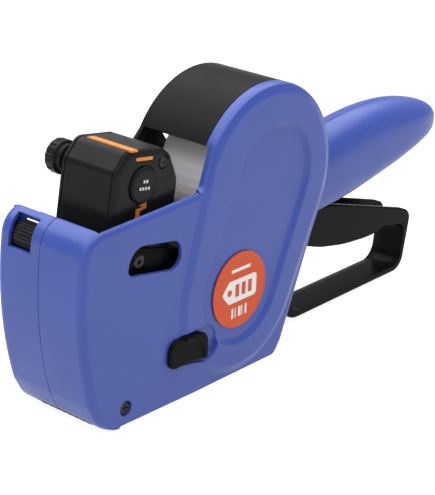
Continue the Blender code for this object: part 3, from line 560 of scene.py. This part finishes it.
def spline(values, t):
    """Catmull-Rom through values, t from 0 to len - 1."""
    i = min(int(t), len(values) - 2)
    f = t - i
    p1, p2 = values[i], values[i + 1]
    p0 = values[i - 1] if i else 2 * p1 - p2
    p3 = values[i + 2] if i + 2 < len(values) else 2 * p2 - p1
    linear = (p2 - p0) * f
    square = (2 * p0 - 5 * p1 + 4 * p2 - p3) * f**2
    cubic = (3 * p1 - p0 - 3 * p2 + p3) * f**3
    return 0.5 * (2 * p1 + linear + square + cubic)


def handle_solid(name, inset, start, flare=0.0):
    """Egg-shaped sections along the handle; flare widens the root where it meets the casing."""
    columns = list(zip(*HANDLE))
    rings = []
    steps, sides, root_x = 72, 64, 30.0
    for k in range(steps + 1):
        t = (len(HANDLE) - 1) * k / steps
        x, top, bottom, half = (spline(column, t) for column in columns)
        if half < inset + 1.0:
            continue
        grow = min(flare * max(0.0, (root_x - x) / 14.0) ** 2.2, 6.0)
        middle = bottom + 0.5 * (top - bottom)
        ring = []
        for i in range(sides):
            angle = 2.0 * math.pi * i / sides
            c, s = math.cos(angle), math.sin(angle)
            power = 2.3 if s > 0.0 else 2.3 + 1.7 * smoothstep(min(1.0, -s * 2.5))
            reach = (abs(c) ** power + abs(s) ** power) ** (-1.0 / power)
            y = (half - inset + grow * 0.7) * reach * c
            z = middle + (0.5 * (top - bottom) - inset + grow * 0.5) * reach * s
            end_inset = inset * smoothstep(min(1.0, max(0.0, (x - 90.0) / 20.0)))
            ring.append((x - end_inset, y, z))
        rings.append(ring)
    rings[0] = [(start, y, z) for _, y, z in rings[0]]
    return solid(name, rings)


def roll_opening(name, y_low, y_high):
    outer = arc(ROLL, ROLL_R + 8.0, 4.0, FRONT_ANGLE + 4.5, 4.0)
    inner = arc(ROLL, ROLL_R - WALL - 1.4, FRONT_ANGLE + 4.5, 4.0, 4.0)
    return prism(name, outer + inner, y_low, y_high)


def front_flange(name, y_low):
    corners = [(-60.0, 74.0), (-52.0, 74.0), (-44.7, 90.0), (-51.4, 94.3), (-64.0, 82.0)]
    return prism(name, corners, y_low, 30.0)


def base_opening(name):
    return block(name, (-90.2, -14.0, -3.0), (-9.4, 11.0, 3.2))


def applicator_slot(name):
    return rod(name, APPLICATOR, APPLICATOR_R + 0.35, -14.4, 11.4)


def boss(name, place, radius, y_low, y_high):
    return rod(name, place, radius, y_low, y_high, 40)


def left_casing():
    outline = casing_outline()
    shell = rounded_side("casing_left_shell", outline, NEAR_Y, SEAM_Y - SEAM_GAP, EDGE_R)
    bulge = rounded_side("bulge_body", outline, BULGE_Y, NEAR_Y + 2.6, EDGE_R)
    foot = hull_of_two(ROLL, ROLL_R + 0.4, BADGE, 33.6)
    crest = offset(foot, 4.6)
    rings = [ring_at(foot, NEAR_Y + 4.0)]
    rings += slope(foot, BULGE_Y - 0.03, NEAR_Y + 0.05, 4.6)
    rings.append(ring_at(crest, -27.0))
    keep(bulge, solid("bulge_stadium", rings))
    join(shell, bulge, handle_solid("handle_outer_left", 0.0, 4.0, 2.2))
    cut(shell, prism("left_hollow", offset(outline, WALL), NEAR_Y + WALL, 30.0))
    cut(shell, handle_solid("handle_inner_left", HANDLE_WALL, -4.0))
    join(
        shell,
        boss("front_boss", FRONT_SCREW, 3.6, NEAR_Y + 1.0, -14.7),
        boss("rear_boss_left", REAR_SCREW, 3.4, NEAR_Y + 1.0, SEAM_Y),
        boss("handle_boss_left", HANDLE_SCREW, 3.2, -10.5, SEAM_Y),
        boss("pivot_boss_left", PIVOT, 4.4, NEAR_Y + 1.0, -17.25),
    )
    cut(shell, block("right_half", (-150.0, SEAM_Y - SEAM_GAP, -20.0), (150.0, 40.0, 140.0)))
    cut(shell, block("handle_slot_left", (0.0, -9.4, 24.0), (98.0, 20.0, 62.0)))
    cut(shell, block("nose_opening_left", (-104.3, NEAR_Y + 1.5, 56.0), (-54.4, 30.0, 90.0)))
    cut(shell, roll_opening("roll_opening_left", -17.1, 30.0), front_flange("front_opening_left", -18.2))
    top = hull_of_two(DISH_TOP, DISH_R + 1.6, BADGE, DISH_R + 1.6)
    rings = [ring_at(top, -27.0)] + slope(top, DISH_Y, BULGE_Y - 0.04, 3.0)
    cut(shell, solid("dish", list(reversed(rings))))
    cut(shell, side_slot(), latch_slot(), finger_recess())
    cut(shell, applicator_slot("applicator_slot_left"), base_opening("base_opening_left"))
    cut(
        shell,
        rod("front_counterbore", FRONT_SCREW, 2.9, -27.0, -19.5),
        rod("front_bore", FRONT_SCREW, 1.6, -20.0, -14.0),
        rod("rear_bore_left", REAR_SCREW, 1.5, -14.0, 5.0),
        rod("handle_bore_left", HANDLE_SCREW, 1.5, -8.0, 5.0),
        rod("pivot_bore_left", PIVOT, 2.1, -18.3, -16.0),
    )
    return piece(shell, "casing", BLUE, "blue_plastic", ["left_casing"])


def side_slot():
    corners = [(-91.6, 56.4, 2.8), (-64.4, 51.8, 4.6), (-64.4, 62.8, 5.0), (-90.2, 67.2, 7.2)]
    return prism("side_slot", filleted(corners), -28.0, -16.0)


def latch_slot():
    corners = [(-66.0, 15.0, 1.5), (-51.5, 15.0, 1.5), (-51.5, 22.6, 1.5), (-66.0, 22.6, 1.5)]
    return prism("latch_slot", filleted(corners), -28.0, -16.0)


def finger_recess():
    """Thumb recess with a steep wall and a rolled rim."""
    steps = [(RECESS_Y, 6.5), (RECESS_Y - 0.08, 6.75), (RECESS_Y - 0.3, 6.9), (BULGE_Y + 0.5, 7.1)]
    steps += [(BULGE_Y + 0.22, 7.2), (BULGE_Y + 0.06, 7.38), (BULGE_Y - 0.01, 7.7), (BULGE_Y - 3.0, 8.2)]
    rings = [ring_at(hull_of_two((-51.0, 18.7), r, (-62.0, 19.5), r - 0.9), y) for y, r in steps]
    return solid("finger_recess", rings)


def rear_step(name, y_low, margin=0.0):
    corners = [(-58.0 - margin, -10.0), (90.0, -10.0), (90.0, 130.0), (-34.0 - margin, 130.0)]
    corners += [(-47.0 - margin, 78.0), (-61.0 - margin, 44.0), (-63.0 - margin, 30.0)]
    return prism(name, corners, y_low, 30.0)


def right_casing():
    outline = casing_outline()
    shell = rounded_side("casing_right_shell", outline, FAR_NOSE_Y, SEAM_Y + SEAM_GAP, EDGE_R)
    cut(shell, rear_step("rear_step_outer", FAR_REAR_Y))
    join(shell, handle_solid("handle_outer_right", 0.0, 4.0, 2.2))
    nose = prism("right_nose_hollow", offset(outline, WALL), -5.0, FAR_NOSE_Y - WALL)
    cut(nose, rear_step("rear_step_inner", FAR_REAR_Y - WALL, WALL))
    cut(shell, nose)
    cut(shell, handle_solid("handle_inner_right", HANDLE_WALL, -4.0))
    join(
        shell,
        boss("rear_boss_right", REAR_SCREW, 3.4, SEAM_Y, FAR_REAR_Y - 1.0),
        boss("handle_boss_right", HANDLE_SCREW, 3.2, SEAM_Y, 10.5),
        block("nose_lip", (-105.6, 1.5, 72.7), (-104.0, 17.0, 75.5)),
        block("nose_rib", (-105.6, 14.2, 60.0), (-104.0, FAR_NOSE_Y - 0.8, 75.5)),
    )
    cut(shell, block("left_half", (-150.0, -40.0, -20.0), (150.0, SEAM_Y + SEAM_GAP, 140.0)))
    cut(shell, block("handle_slot_right", (0.0, -20.0, 24.0), (98.0, 9.4, 62.0)))
    cut(shell, block("nose_opening_right", (-104.3, -9.0, 56.0), (-58.0, FAR_NOSE_Y - 2.0, 90.0)))
    corners = [(-104.6, 62.0, 4.0), (-73.0, 62.0, 6.0), (-70.0, 95.0, 0.0), (-104.6, 95.0, 0.0)]
    cut(shell, prism("knob_cutout", filleted(corners), 8.0, 30.0))
    cut(shell, block("nose_window", (-125.0, 4.3, 63.8), (-105.9, 15.3, 74.9)))
    space = block("hood_space", (-50.6, -10.0, 68.5), (20.4, 30.0, 130.0))
    cut(space, rod("hub_ear", ROLL, 13.0, FAR_REAR_Y - WALL, FAR_REAR_Y + 1.0))
    cut(space, block("handle_keep", (14.0, -12.0, 60.0), (70.0, 12.0, 76.0)))
    join(space, block("over_nose", (-58.2, -10.0, 77.4), (-50.0, 30.0, 130.0)))
    join(space, block("rear_roof", (-58.5, -9.0, 70.0), (-50.0, 12.4, 90.0)))
    cut(shell, space)
    cut(shell, applicator_slot("applicator_slot_right"), base_opening("base_opening_right"))
    for name, place, face in (("rear", REAR_SCREW, FAR_REAR_Y), ("handle", HANDLE_SCREW, 11.8)):
        cut(shell, rod(name + "_bore_right", place, 1.5, -2.0, 25.0))
        cut(shell, rod(name + "_sink_right", place, 2.9, face - 1.6, 25.0))
    cut(shell, rod("pivot_bore_right", PIVOT, 2.1, 8.0, FAR_REAR_Y - 0.7))
    return piece(shell, "casing", BLUE, "blue_plastic", ["right_casing"])


# ----------------------------------------------------------- hood, lever

def hood():
    outer = arc(ROLL, ROLL_R, HOOD_START, HOOD_END, 1.5)
    inner = arc(ROLL, ROLL_R - 1.8, HOOD_END, HOOD_START, 1.5)
    made = prism("hood_shell", outer + inner, -16.8, FAR_REAR_Y)
    front = [(-60.0, 81.4), (-60.0, 78.4), (-50.2, 78.4), (-50.2, 69.3)]
    wall = arc(ROLL, ROLL_R, -6.0, 148.0, 1.5) + front
    join(made, prism("hood_side", wall, FAR_REAR_Y - 1.5, FAR_REAR_Y))
    join(made, rod("hood_barrel", HOOD_PIN, 2.7, -12.0, 8.0))
    gap = prism("hood_gap", [(-35.4, 83.8), (-30.0, 88.0), (-36.0, 93.5), (-40.6, 91.6)], 11.0, 20.0)
    window = rod("hood_window", ROLL, 20.0, 11.0, 20.0, 96)
    cut(made, window, gap, rod("hood_bore", HOOD_PIN, 1.25, -20.0, 20.0))
    return piece(made, "hood", HOOD_BLACK, "black_plastic", ["roll_hood"])


def finger_hole(outline):
    """Opening of the loop; it flares towards the right side, so the bar has a sloping top."""
    rings = [ring_at(offset(outline, -3.0), 12.0), ring_at(outline, 3.0), ring_at(outline, -12.0)]
    return solid("finger_hole", rings)


def lever():
    outer = [(-18.5, 35.0, 4.0), (-18.0, 42.5, 4.0), (-8.0, 44.0, 4.0), (22.0, 47.5, 14.0)]
    outer += [(42.2, 44.4, 60.0), (91.0, 29.9, 3.0), (98.4, 26.7, 5.0), (93.8, 1.5, 7.0)]
    outer += [(12.0, 1.2, 10.0), (12.0, 27.0, 8.0), (-8.0, 31.0, 8.0)]
    outer.reverse()
    made = soft_prism("lever_body", filleted(outer, 4.0), -TRIGGER_Y, TRIGGER_Y, 0.9)
    join(made, rod("trigger_barrel", PIVOT, 5.0, -15.6, 10.0))
    hole = [(19.0, 33.2, 4.0), (34.5, 28.0, 40.0), (49.5, 25.0, 60.0), (62.7, 23.8, 60.0)]
    hole += [(70.8, 23.5, 20.0), (79.0, 25.4, 6.0), (94.4, 22.1, 5.0), (91.9, 4.1, 5.5)]
    hole += [(14.8, 4.0, 8.0)]
    hole.reverse()
    channel = [(12.0, 36.5, 3.0), (34.5, 31.0, 40.0), (49.5, 27.8, 40.0), (62.7, 26.6, 40.0)]
    channel += [(79.0, 28.0, 20.0), (101.0, 20.6, 0.0), (101.0, 70.0, 0.0), (12.0, 70.0, 0.0)]
    cut(made, finger_hole(filleted(hole, 4.0)))
    cut(made, prism("lever_channel", filleted(channel, 4.0), -TRIGGER_Y + 1.8, TRIGGER_Y - 1.8))
    cut(made, rod("trigger_bore", PIVOT, 2.05, -20.0, 20.0))
    # the trigger gets the black plastic with painted shade
    return piece(made, "trigger", LEVER_SHADED_BLACK, "black_plastic", ["trigger_lever"])


# ----------------------------------------------------------------- head

HEAD_FRONT, HEAD_REAR, HEAD_TOP, HEAD_BOTTOM = -13.9, 18.5, 12.2, -26.0


def head_profile(front, top, inset=0.0):
    rear = HEAD_REAR - inset
    corners = [(front, HEAD_BOTTOM, 0.0), (rear, HEAD_BOTTOM, 0.0), (rear, 1.0 - inset, 4.0)]
    corners += [(13.5, 9.4 - inset, 6.0), (9.0, top, 3.0)]
    corners += [(front + 5.5, top, 5.0), (front, top - 7.5, 4.0)]
    return corners


def pointer_outline(grow):
    corners = [(-1.9, -12.6), (0.1, -12.6), (0.1, -9.1), (3.0, -8.4), (2.9, -6.2)]
    corners += [(-0.4, -6.95), (-0.3, -7.6), (1.2, -7.3), (1.2, -7.9), (-1.9, -8.4)]
    return [in_head(x, z) for x, z in offset(corners, -grow)]


def head():
    outline = head_outline(head_profile(HEAD_FRONT, HEAD_TOP))
    shell = soft_prism("head_shell", outline, -13.6, 8.4, 0.4)
    inner = head_profile(HEAD_FRONT + 1.1, HEAD_TOP - 1.1, 1.3)
    inner[0] = (inner[0][0], HEAD_BOTTOM - 4.0, 0.0)
    inner[1] = (inner[1][0], HEAD_BOTTOM - 4.0, 0.0)
    cut(shell, prism("head_hollow", head_outline(inner), -30.0, 30.0))
    groove = [(-7.3, 11.4, 0.0), (-3.1, 11.4, 0.0), (-3.1, 20.0, 0.0), (-7.3, 20.0, 0.0)]
    cut(shell, prism("index_groove", head_outline(groove), -14.9, 6.4))
    piece(shell, "trigger", BLACK, "black_plastic", ["head_housing"])

    local = filleted(head_profile(HEAD_FRONT + 0.2, HEAD_TOP - 0.2))
    outer = [in_head(x, z) for x, z in local]
    face = [in_head(0.873 * x + 1.15, 0.958 * z - 1.09) for x, z in local]
    rings = [ring_at(outer, -13.9), ring_at(outer, -14.2), ring_at(face, HEAD_NEAR_Y)]
    near = solid("head_plate_near", rings)
    screw = in_head(9.2, 7.2)
    window = [(-5.0, 8.3, 0.8), (3.8, 8.3, 0.8), (3.8, 10.1, 0.8), (-5.0, 10.1, 0.8)]
    cut(
        near,
        rod("cap_pocket", HEAD_CAP, 6.9, -20.0, -14.8, 72),
        rod("head_screw_hole_left", HEAD_SCREW, 1.5, -30.0, 0.0),
        rod("plate_screw_sink", screw, 2.5, -20.0, -14.7),
        rod("plate_screw_hole", screw, 1.2, -20.0, -13.0),
        prism("index_pocket", head_outline(window), -20.0, -14.8),
        prism("pointer_pocket", pointer_outline(0.15), -20.0, -15.0),
        prism("bar_notch", head_outline(groove), -14.9, -12.0),
    )
    piece(near, "trigger", BLACK, "black_plastic", ["head_side_plate"])

    far = soft_prism("head_plate_far", outline, 8.7, 10.0, 0.3)
    cut(far, rod("selector_hole", in_head(*SELECTOR), 1.7, 0.0, 20.0))
    cut(far, rod("head_screw_hole_right", HEAD_SCREW, 1.5, 0.0, 20.0))
    piece(far, "trigger", BLACK, "black_plastic", ["head_far_plate"])

    profile = [(-16.45, 4.9), (-16.68, 5.2), (-16.7, 5.6), (-16.5, 6.1), (-16.2, 6.4), (-15.1, 6.5)]
    cap = turned("head_cap_disc", HEAD_CAP, profile, 96)
    piece(cap, "trigger", BLACK, "black_plastic", ["head_cap"])
    for row, (low, high, left) in enumerate(((0.9, 2.0, -1.0), (-1.5, -0.5, -2.6))):
        for i in range(2 + 2 * row):
            x = left + 1.4 * i
            outline = [in_head(*p) for p in ((x, low), (x + 0.8, low), (x + 0.8, high), (x, high))]
            mark = prism(f"cap_mark_{row}_{i}", outline, -16.74, -16.6)
            piece(mark, "trigger", MARK_WHITE, "badge_print")


def knob():
    axis = in_head(*SELECTOR)
    profile = [(11.5, 4.6), (11.8, 5.0), (12.9, 5.1), (13.2, 6.0)]
    profile += [(13.6, 6.3), (17.0, 6.3), (17.5, 6.0), (17.8, 5.2)]
    made = turned("selector_grip", axis, profile, 96)
    grooves = 14
    for i in range(grooves):
        angle = 2.0 * math.pi * i / grooves
        place = (axis[0] + 6.55 * math.cos(angle), axis[1] + 6.55 * math.sin(angle))
        cut(made, rod(f"knob_groove_{i}", place, 0.75, 14.1, 20.0, 16))
    piece(made, "knob", BLACK, "black_plastic", ["selector_knob"])


# ---------------------------------------------------------- small pieces

def arm_screw():
    """Black cross-recess screw that holds the head on the left arm."""
    x, z = HEAD_SCREW
    profile = [(-17.4, 1.9), (-17.3, 2.5), (-17.15, 2.75), (-17.05, 2.8), (-17.0, 1.25), (-14.2, 1.25)]
    made = turned("arm_screw_body", HEAD_SCREW, profile, 48)
    cut(made, block("arm_screw_slot_a", (x - 1.1, -18.0, z - 0.28), (x + 1.1, -16.4, z + 0.28)))
    cut(made, block("arm_screw_slot_b", (x - 0.28, -18.0, z - 1.1), (x + 0.28, -16.5, z + 1.1)))
    piece(made, "trigger", SCREW_BLACK, "dark_steel", ["head_screw_left"])


def latch():
    x, z = LATCH
    cap = [(x - 10.6, z - 4.8, 4.0), (x + 0.6, z - 4.4, 12.0), (x + 10.4, z - 5.8, 3.0)]
    cap += [(x + 9.6, z + 6.6, 5.0), (x + 0.6, z + 5.6, 12.0), (x - 10.2, z + 7.2, 4.4)]
    made = soft_prism("latch_grip", filleted(cap), -22.6, -21.3, 0.9, both=False, steps=6)
    grip = [(x + 7.6, z - 4.9, 0.7), (x + 9.8, z - 5.2, 0.9), (x + 9.6, z + 6.0, 4.4)]
    grip += [(x - 2.2, z + 6.2, 0.6), (x - 2.4, z + 4.6, 0.6)]
    grip += [(x + 3.4, z + 3.6, 2.5), (x + 7.0, z - 0.4, 3.0)]
    lobe = filleted(grip)
    rings = [ring_at(lobe, -22.0)]
    for i in range(7):
        turn = math.radians(15.0 * i)
        inner = offset(lobe, 0.45 * (1 - math.cos(turn)))
        rings.append(ring_at(inner, -22.4 - 0.8 * math.sin(turn)))
    plates = (
        solid("latch_lobe", rings),
        block("latch_neck", (-65.0, -21.8, 15.8), (-57.0, -18.8, 21.8)),
        block("latch_plate", (-66.5, -19.1, 4.8), (-56.0, -17.8, 23.6)),
        block("latch_arm", (-62.0, -18.2, 4.8), (-58.0, -10.6, 6.8)),
        block("latch_tongue", (-64.2, -12.8, 4.8), (-60.0, -10.6, 6.8)),
    )
    join(made, *plates)
    piece(made, "latch", LEVER_SHADED_BLACK, "black_plastic", ["latch_button"])


def wire(name, points, radius, sides=10):
    """Round wire bent along a row of (x, y, z) points."""
    path = [Vector(point) for point in points]
    rings = []
    for i, point in enumerate(path):
        ahead = path[min(i + 1, len(path) - 1)] - path[max(i - 1, 0)]
        across = ahead.cross(Vector((0.0, 1.0, 0.0))).normalized()
        other = ahead.cross(across).normalized()
        ring = []
        for k in range(sides):
            turn = 2.0 * math.pi * k / sides
            ring.append(tuple(point + radius * (math.cos(turn) * across + math.sin(turn) * other)))
        rings.append(ring)
    return solid(name, rings)


def return_spring():
    """Coil with its casing leg; the leg under the cross bar turns with the trigger."""
    radius, turns, steps, start_y, end_y = 6.2, 4, 24, -14.2, -9.4
    path = [(-0.8, start_y, 24.0), (-6.0, start_y, 29.0)]
    for i in range(turns * steps + 1):
        part = i / (turns * steps)
        angle = math.radians(-70.0 + (250.0 + 360.0 * (turns - 1)) * part)
        y = start_y + (end_y - start_y) * part
        path.append((PIVOT[0] + radius * math.cos(angle), y, PIVOT[1] + radius * math.sin(angle)))
    coil = wire("return_spring_coil", path, SPRING_WIRE_R)
    piece(coil, "casing", STEEL, "steel", ["return_spring"], 70.0)
    leg = [(-21.4, end_y, 38.0), (-28.0, end_y, 36.0), (-43.0, end_y, 42.4)]
    piece(wire("return_spring_leg", leg, SPRING_WIRE_R), "trigger", STEEL, "steel", (), 70.0)


def latch_spring():
    """Zigzag wire in two halves that pass each other as the latch moves."""
    near, far, low, middle, high = -18.55, -17.5, 9.4, 12.0, 14.6
    moving = [(-55.6, near, middle), (-54.4, near, high), (-52.6, near, low)]
    moving += [(-50.8, near, high), (-49.0, near, low)]
    half = wire("latch_spring_moving", moving, LATCH_WIRE_R)
    piece(half, "latch", STEEL, "steel", ["latch_spring"], 70.0)
    resting = [(-50.0, far, high), (-48.2, far, low), (-46.4, far, high)]
    resting += [(-45.2, far, middle), (-44.0, -18.2, middle)]
    half = wire("latch_spring_resting", resting, LATCH_WIRE_R)
    piece(half, "casing", STEEL, "steel", (), 70.0)


def badge():
    """Round printed badge: a plain price tag and a row of bars."""
    profile = [(-21.45, BADGE_R - 0.25), (-21.35, BADGE_R), (-21.0, BADGE_R)]
    made = turned("badge_plate", BADGE, profile, 128)
    piece(made, "casing", BADGE_RED, "badge_print", ["badge_disc"])
    x, z = BADGE
    corners = [(x - 9.6, z - 0.4, 1.2), (x - 6.2, z - 4.4, 1.2), (x + 9.4, z - 4.4, 1.6)]
    corners += [(x + 9.4, z + 4.6, 1.6), (x - 6.2, z + 4.6, 1.2), (x - 9.6, z + 0.6, 1.2)]
    front, back = PRINT_Y
    tag = prism("badge_tag", filleted(corners), front, back)
    cut(tag, rod("badge_tag_hole", (x - 5.8, z + 0.1), 1.3, -25.0, -15.0))
    for i in range(3):
        low = x - 2.6 + 3.6 * i
        cut(tag, block(f"badge_tag_line_{i}", (low, -25.0, z - 2.4), (low + 2.2, -15.0, z + 2.6)))
    piece(tag, "casing", BADGE_WHITE, "badge_print")
    for i, width in enumerate((1.0, 0.5, 1.4, 0.5, 1.0)):
        low = x - 4.4 + 1.9 * i
        bar = block(f"badge_bar_{i}", (low, front, z - 10.6), (low + width, back, z - 6.6))
        piece(bar, "casing", BADGE_WHITE, "badge_print")
    stroke = block("badge_stroke", (x - 5.0, front, z + 7.6), (x + 5.6, back, z + 8.9))
    piece(stroke, "casing", BADGE_WHITE, "badge_print")


def applicator():
    """Rubber roller with eight soft bands."""
    profile = []
    steps = ((0.0, 0.3), (0.2, 0.06), (0.4, 0.0), (1.8, 0.0), (2.0, 0.1), (2.2, 0.8), (2.9, 0.8))
    for i in range(8):
        low = -14.0 + 3.15 * i
        profile += [(low + along, APPLICATOR_R - depth) for along, depth in steps]
    made = turned("applicator_rubber", APPLICATOR, profile, 64)
    cut(made, rod("applicator_bore", APPLICATOR, 1.35, -20.0, 20.0))
    piece(made, "applicator", RUBBER, "rubber", ["applicator_roller"])


def position_wheel():
    """Thumbwheel with rounded ribs."""
    outline = []
    x, z = POSITION_WHEEL
    ribs, points = 24, 6
    for i in range(ribs * points):
        angle = 2.0 * math.pi * i / (ribs * points)
        radius = 4.75 + 0.25 * math.tanh(2.5 * math.sin(ribs * angle))
        outline.append((x + radius * math.cos(angle), z + radius * math.sin(angle)))
    made = prism("position_wheel_ribbed", outline, 4.8, 13.8)
    cut(made, rod("position_bore", POSITION_WHEEL, 1.15, 0.0, 20.0))
    piece(made, "position", BLACK, "black_plastic", ["position_wheel"])


SURFACES = {
    "blue_plastic": BLUE,
    "black_plastic": BLACK,
    "orange_plastic": ORANGE,
    "badge_print": BADGE_RED,
    "paper": PAPER,
    "card": CARD,
    "steel": STEEL,
    "dark_steel": DARK_STEEL,
    "rubber": RUBBER,
    "ink_foam": FOAM,
}


def dress_frame():
    """Gives every CAD node that stays its own surface."""
    slots = {entry["node"]: entry["material_slot"] for entry in frame["record"]["subparts"]}
    for name, node in frame["nodes"].items():
        surface = SURFACES[slots[name]]
        # the lever arms get the near-black surface, which has the slot's shade painted in
        if name.startswith("lever_arm"):
            surface = ARM_SHADE_BLACK
        if not node.material_slots:
            continue
        for holder in node.material_slots:
            holder.material = surface


# --------------------------------------------------------------- studio

def floor():
    bpy.ops.mesh.primitive_plane_add(size=6.0, location=(0.0, 0.0, -0.0002))
    made = bpy.context.object
    made.name = "floor"
    n = Nodes("floor_pale")
    n.shader.inputs["Base Color"].default_value = (0.25, 0.25, 0.25, 1.0)
    n.shader.inputs["Roughness"].default_value = 0.9
    n.shader.inputs["Specular IOR Level"].default_value = 0.0
    n.shader.inputs["Emission Color"].default_value = (1.0, 1.0, 1.0, 1.0)
    n.shader.inputs["Emission Strength"].default_value = 0.90
    made.data.materials.append(n.material)


def lamp(name, place, aim, size, power):
    light = bpy.data.lights.new(name, "AREA")
    light.shape = "RECTANGLE"
    light.size, light.size_y = size
    light.energy = power
    made = bpy.data.objects.new(name, light)
    made.location = place
    direction = Vector(aim) - Vector(place)
    made.rotation_euler = direction.to_track_quat("-Z", "Y").to_euler()
    bpy.context.scene.collection.objects.link(made)


def studio():
    world = bpy.data.worlds.new("studio")
    bpy.context.scene.world = world
    world.use_nodes = True
    background = world.node_tree.nodes["Background"]
    background.inputs["Color"].default_value = (1.0, 1.0, 1.0, 1.0)
    background.inputs["Strength"].default_value = 0.42
    lamp("top", (0.05, 0.10, 0.95), (0.0, 0.0, 0.05), (1.9, 1.9), 33.0)
    lamp("front", (-1.1, -0.3, 0.5), (0.0, 0.0, 0.05), (0.5, 0.7), 1.6)
    bpy.context.scene.view_settings.view_transform = "Standard"


def camera():
    data = bpy.data.cameras.new("camera")
    data.lens = 123.64
    data.sensor_width = 36.0
    data.clip_start = 0.01
    made = bpy.data.objects.new("camera", data)
    right = (0.65359, -0.75617, 0.03187)
    up = (0.26423, 0.26745, 0.92664)
    forward = (0.70922, 0.59722, -0.37461)
    place = (-0.4766, -0.3829, 0.2823)
    made.matrix_world = Matrix(
        [(right[i], up[i], -forward[i], place[i]) for i in range(3)] + [(0.0, 0.0, 0.0, 1.0)]
    )
    bpy.context.scene.collection.objects.link(made)
    bpy.context.scene.camera = made


dress_frame()
left_casing()
right_casing()
hood()
lever()
head()
knob()
arm_screw()
return_spring()
latch()
latch_spring()
badge()
applicator()
position_wheel()
floor()
studio()
camera()
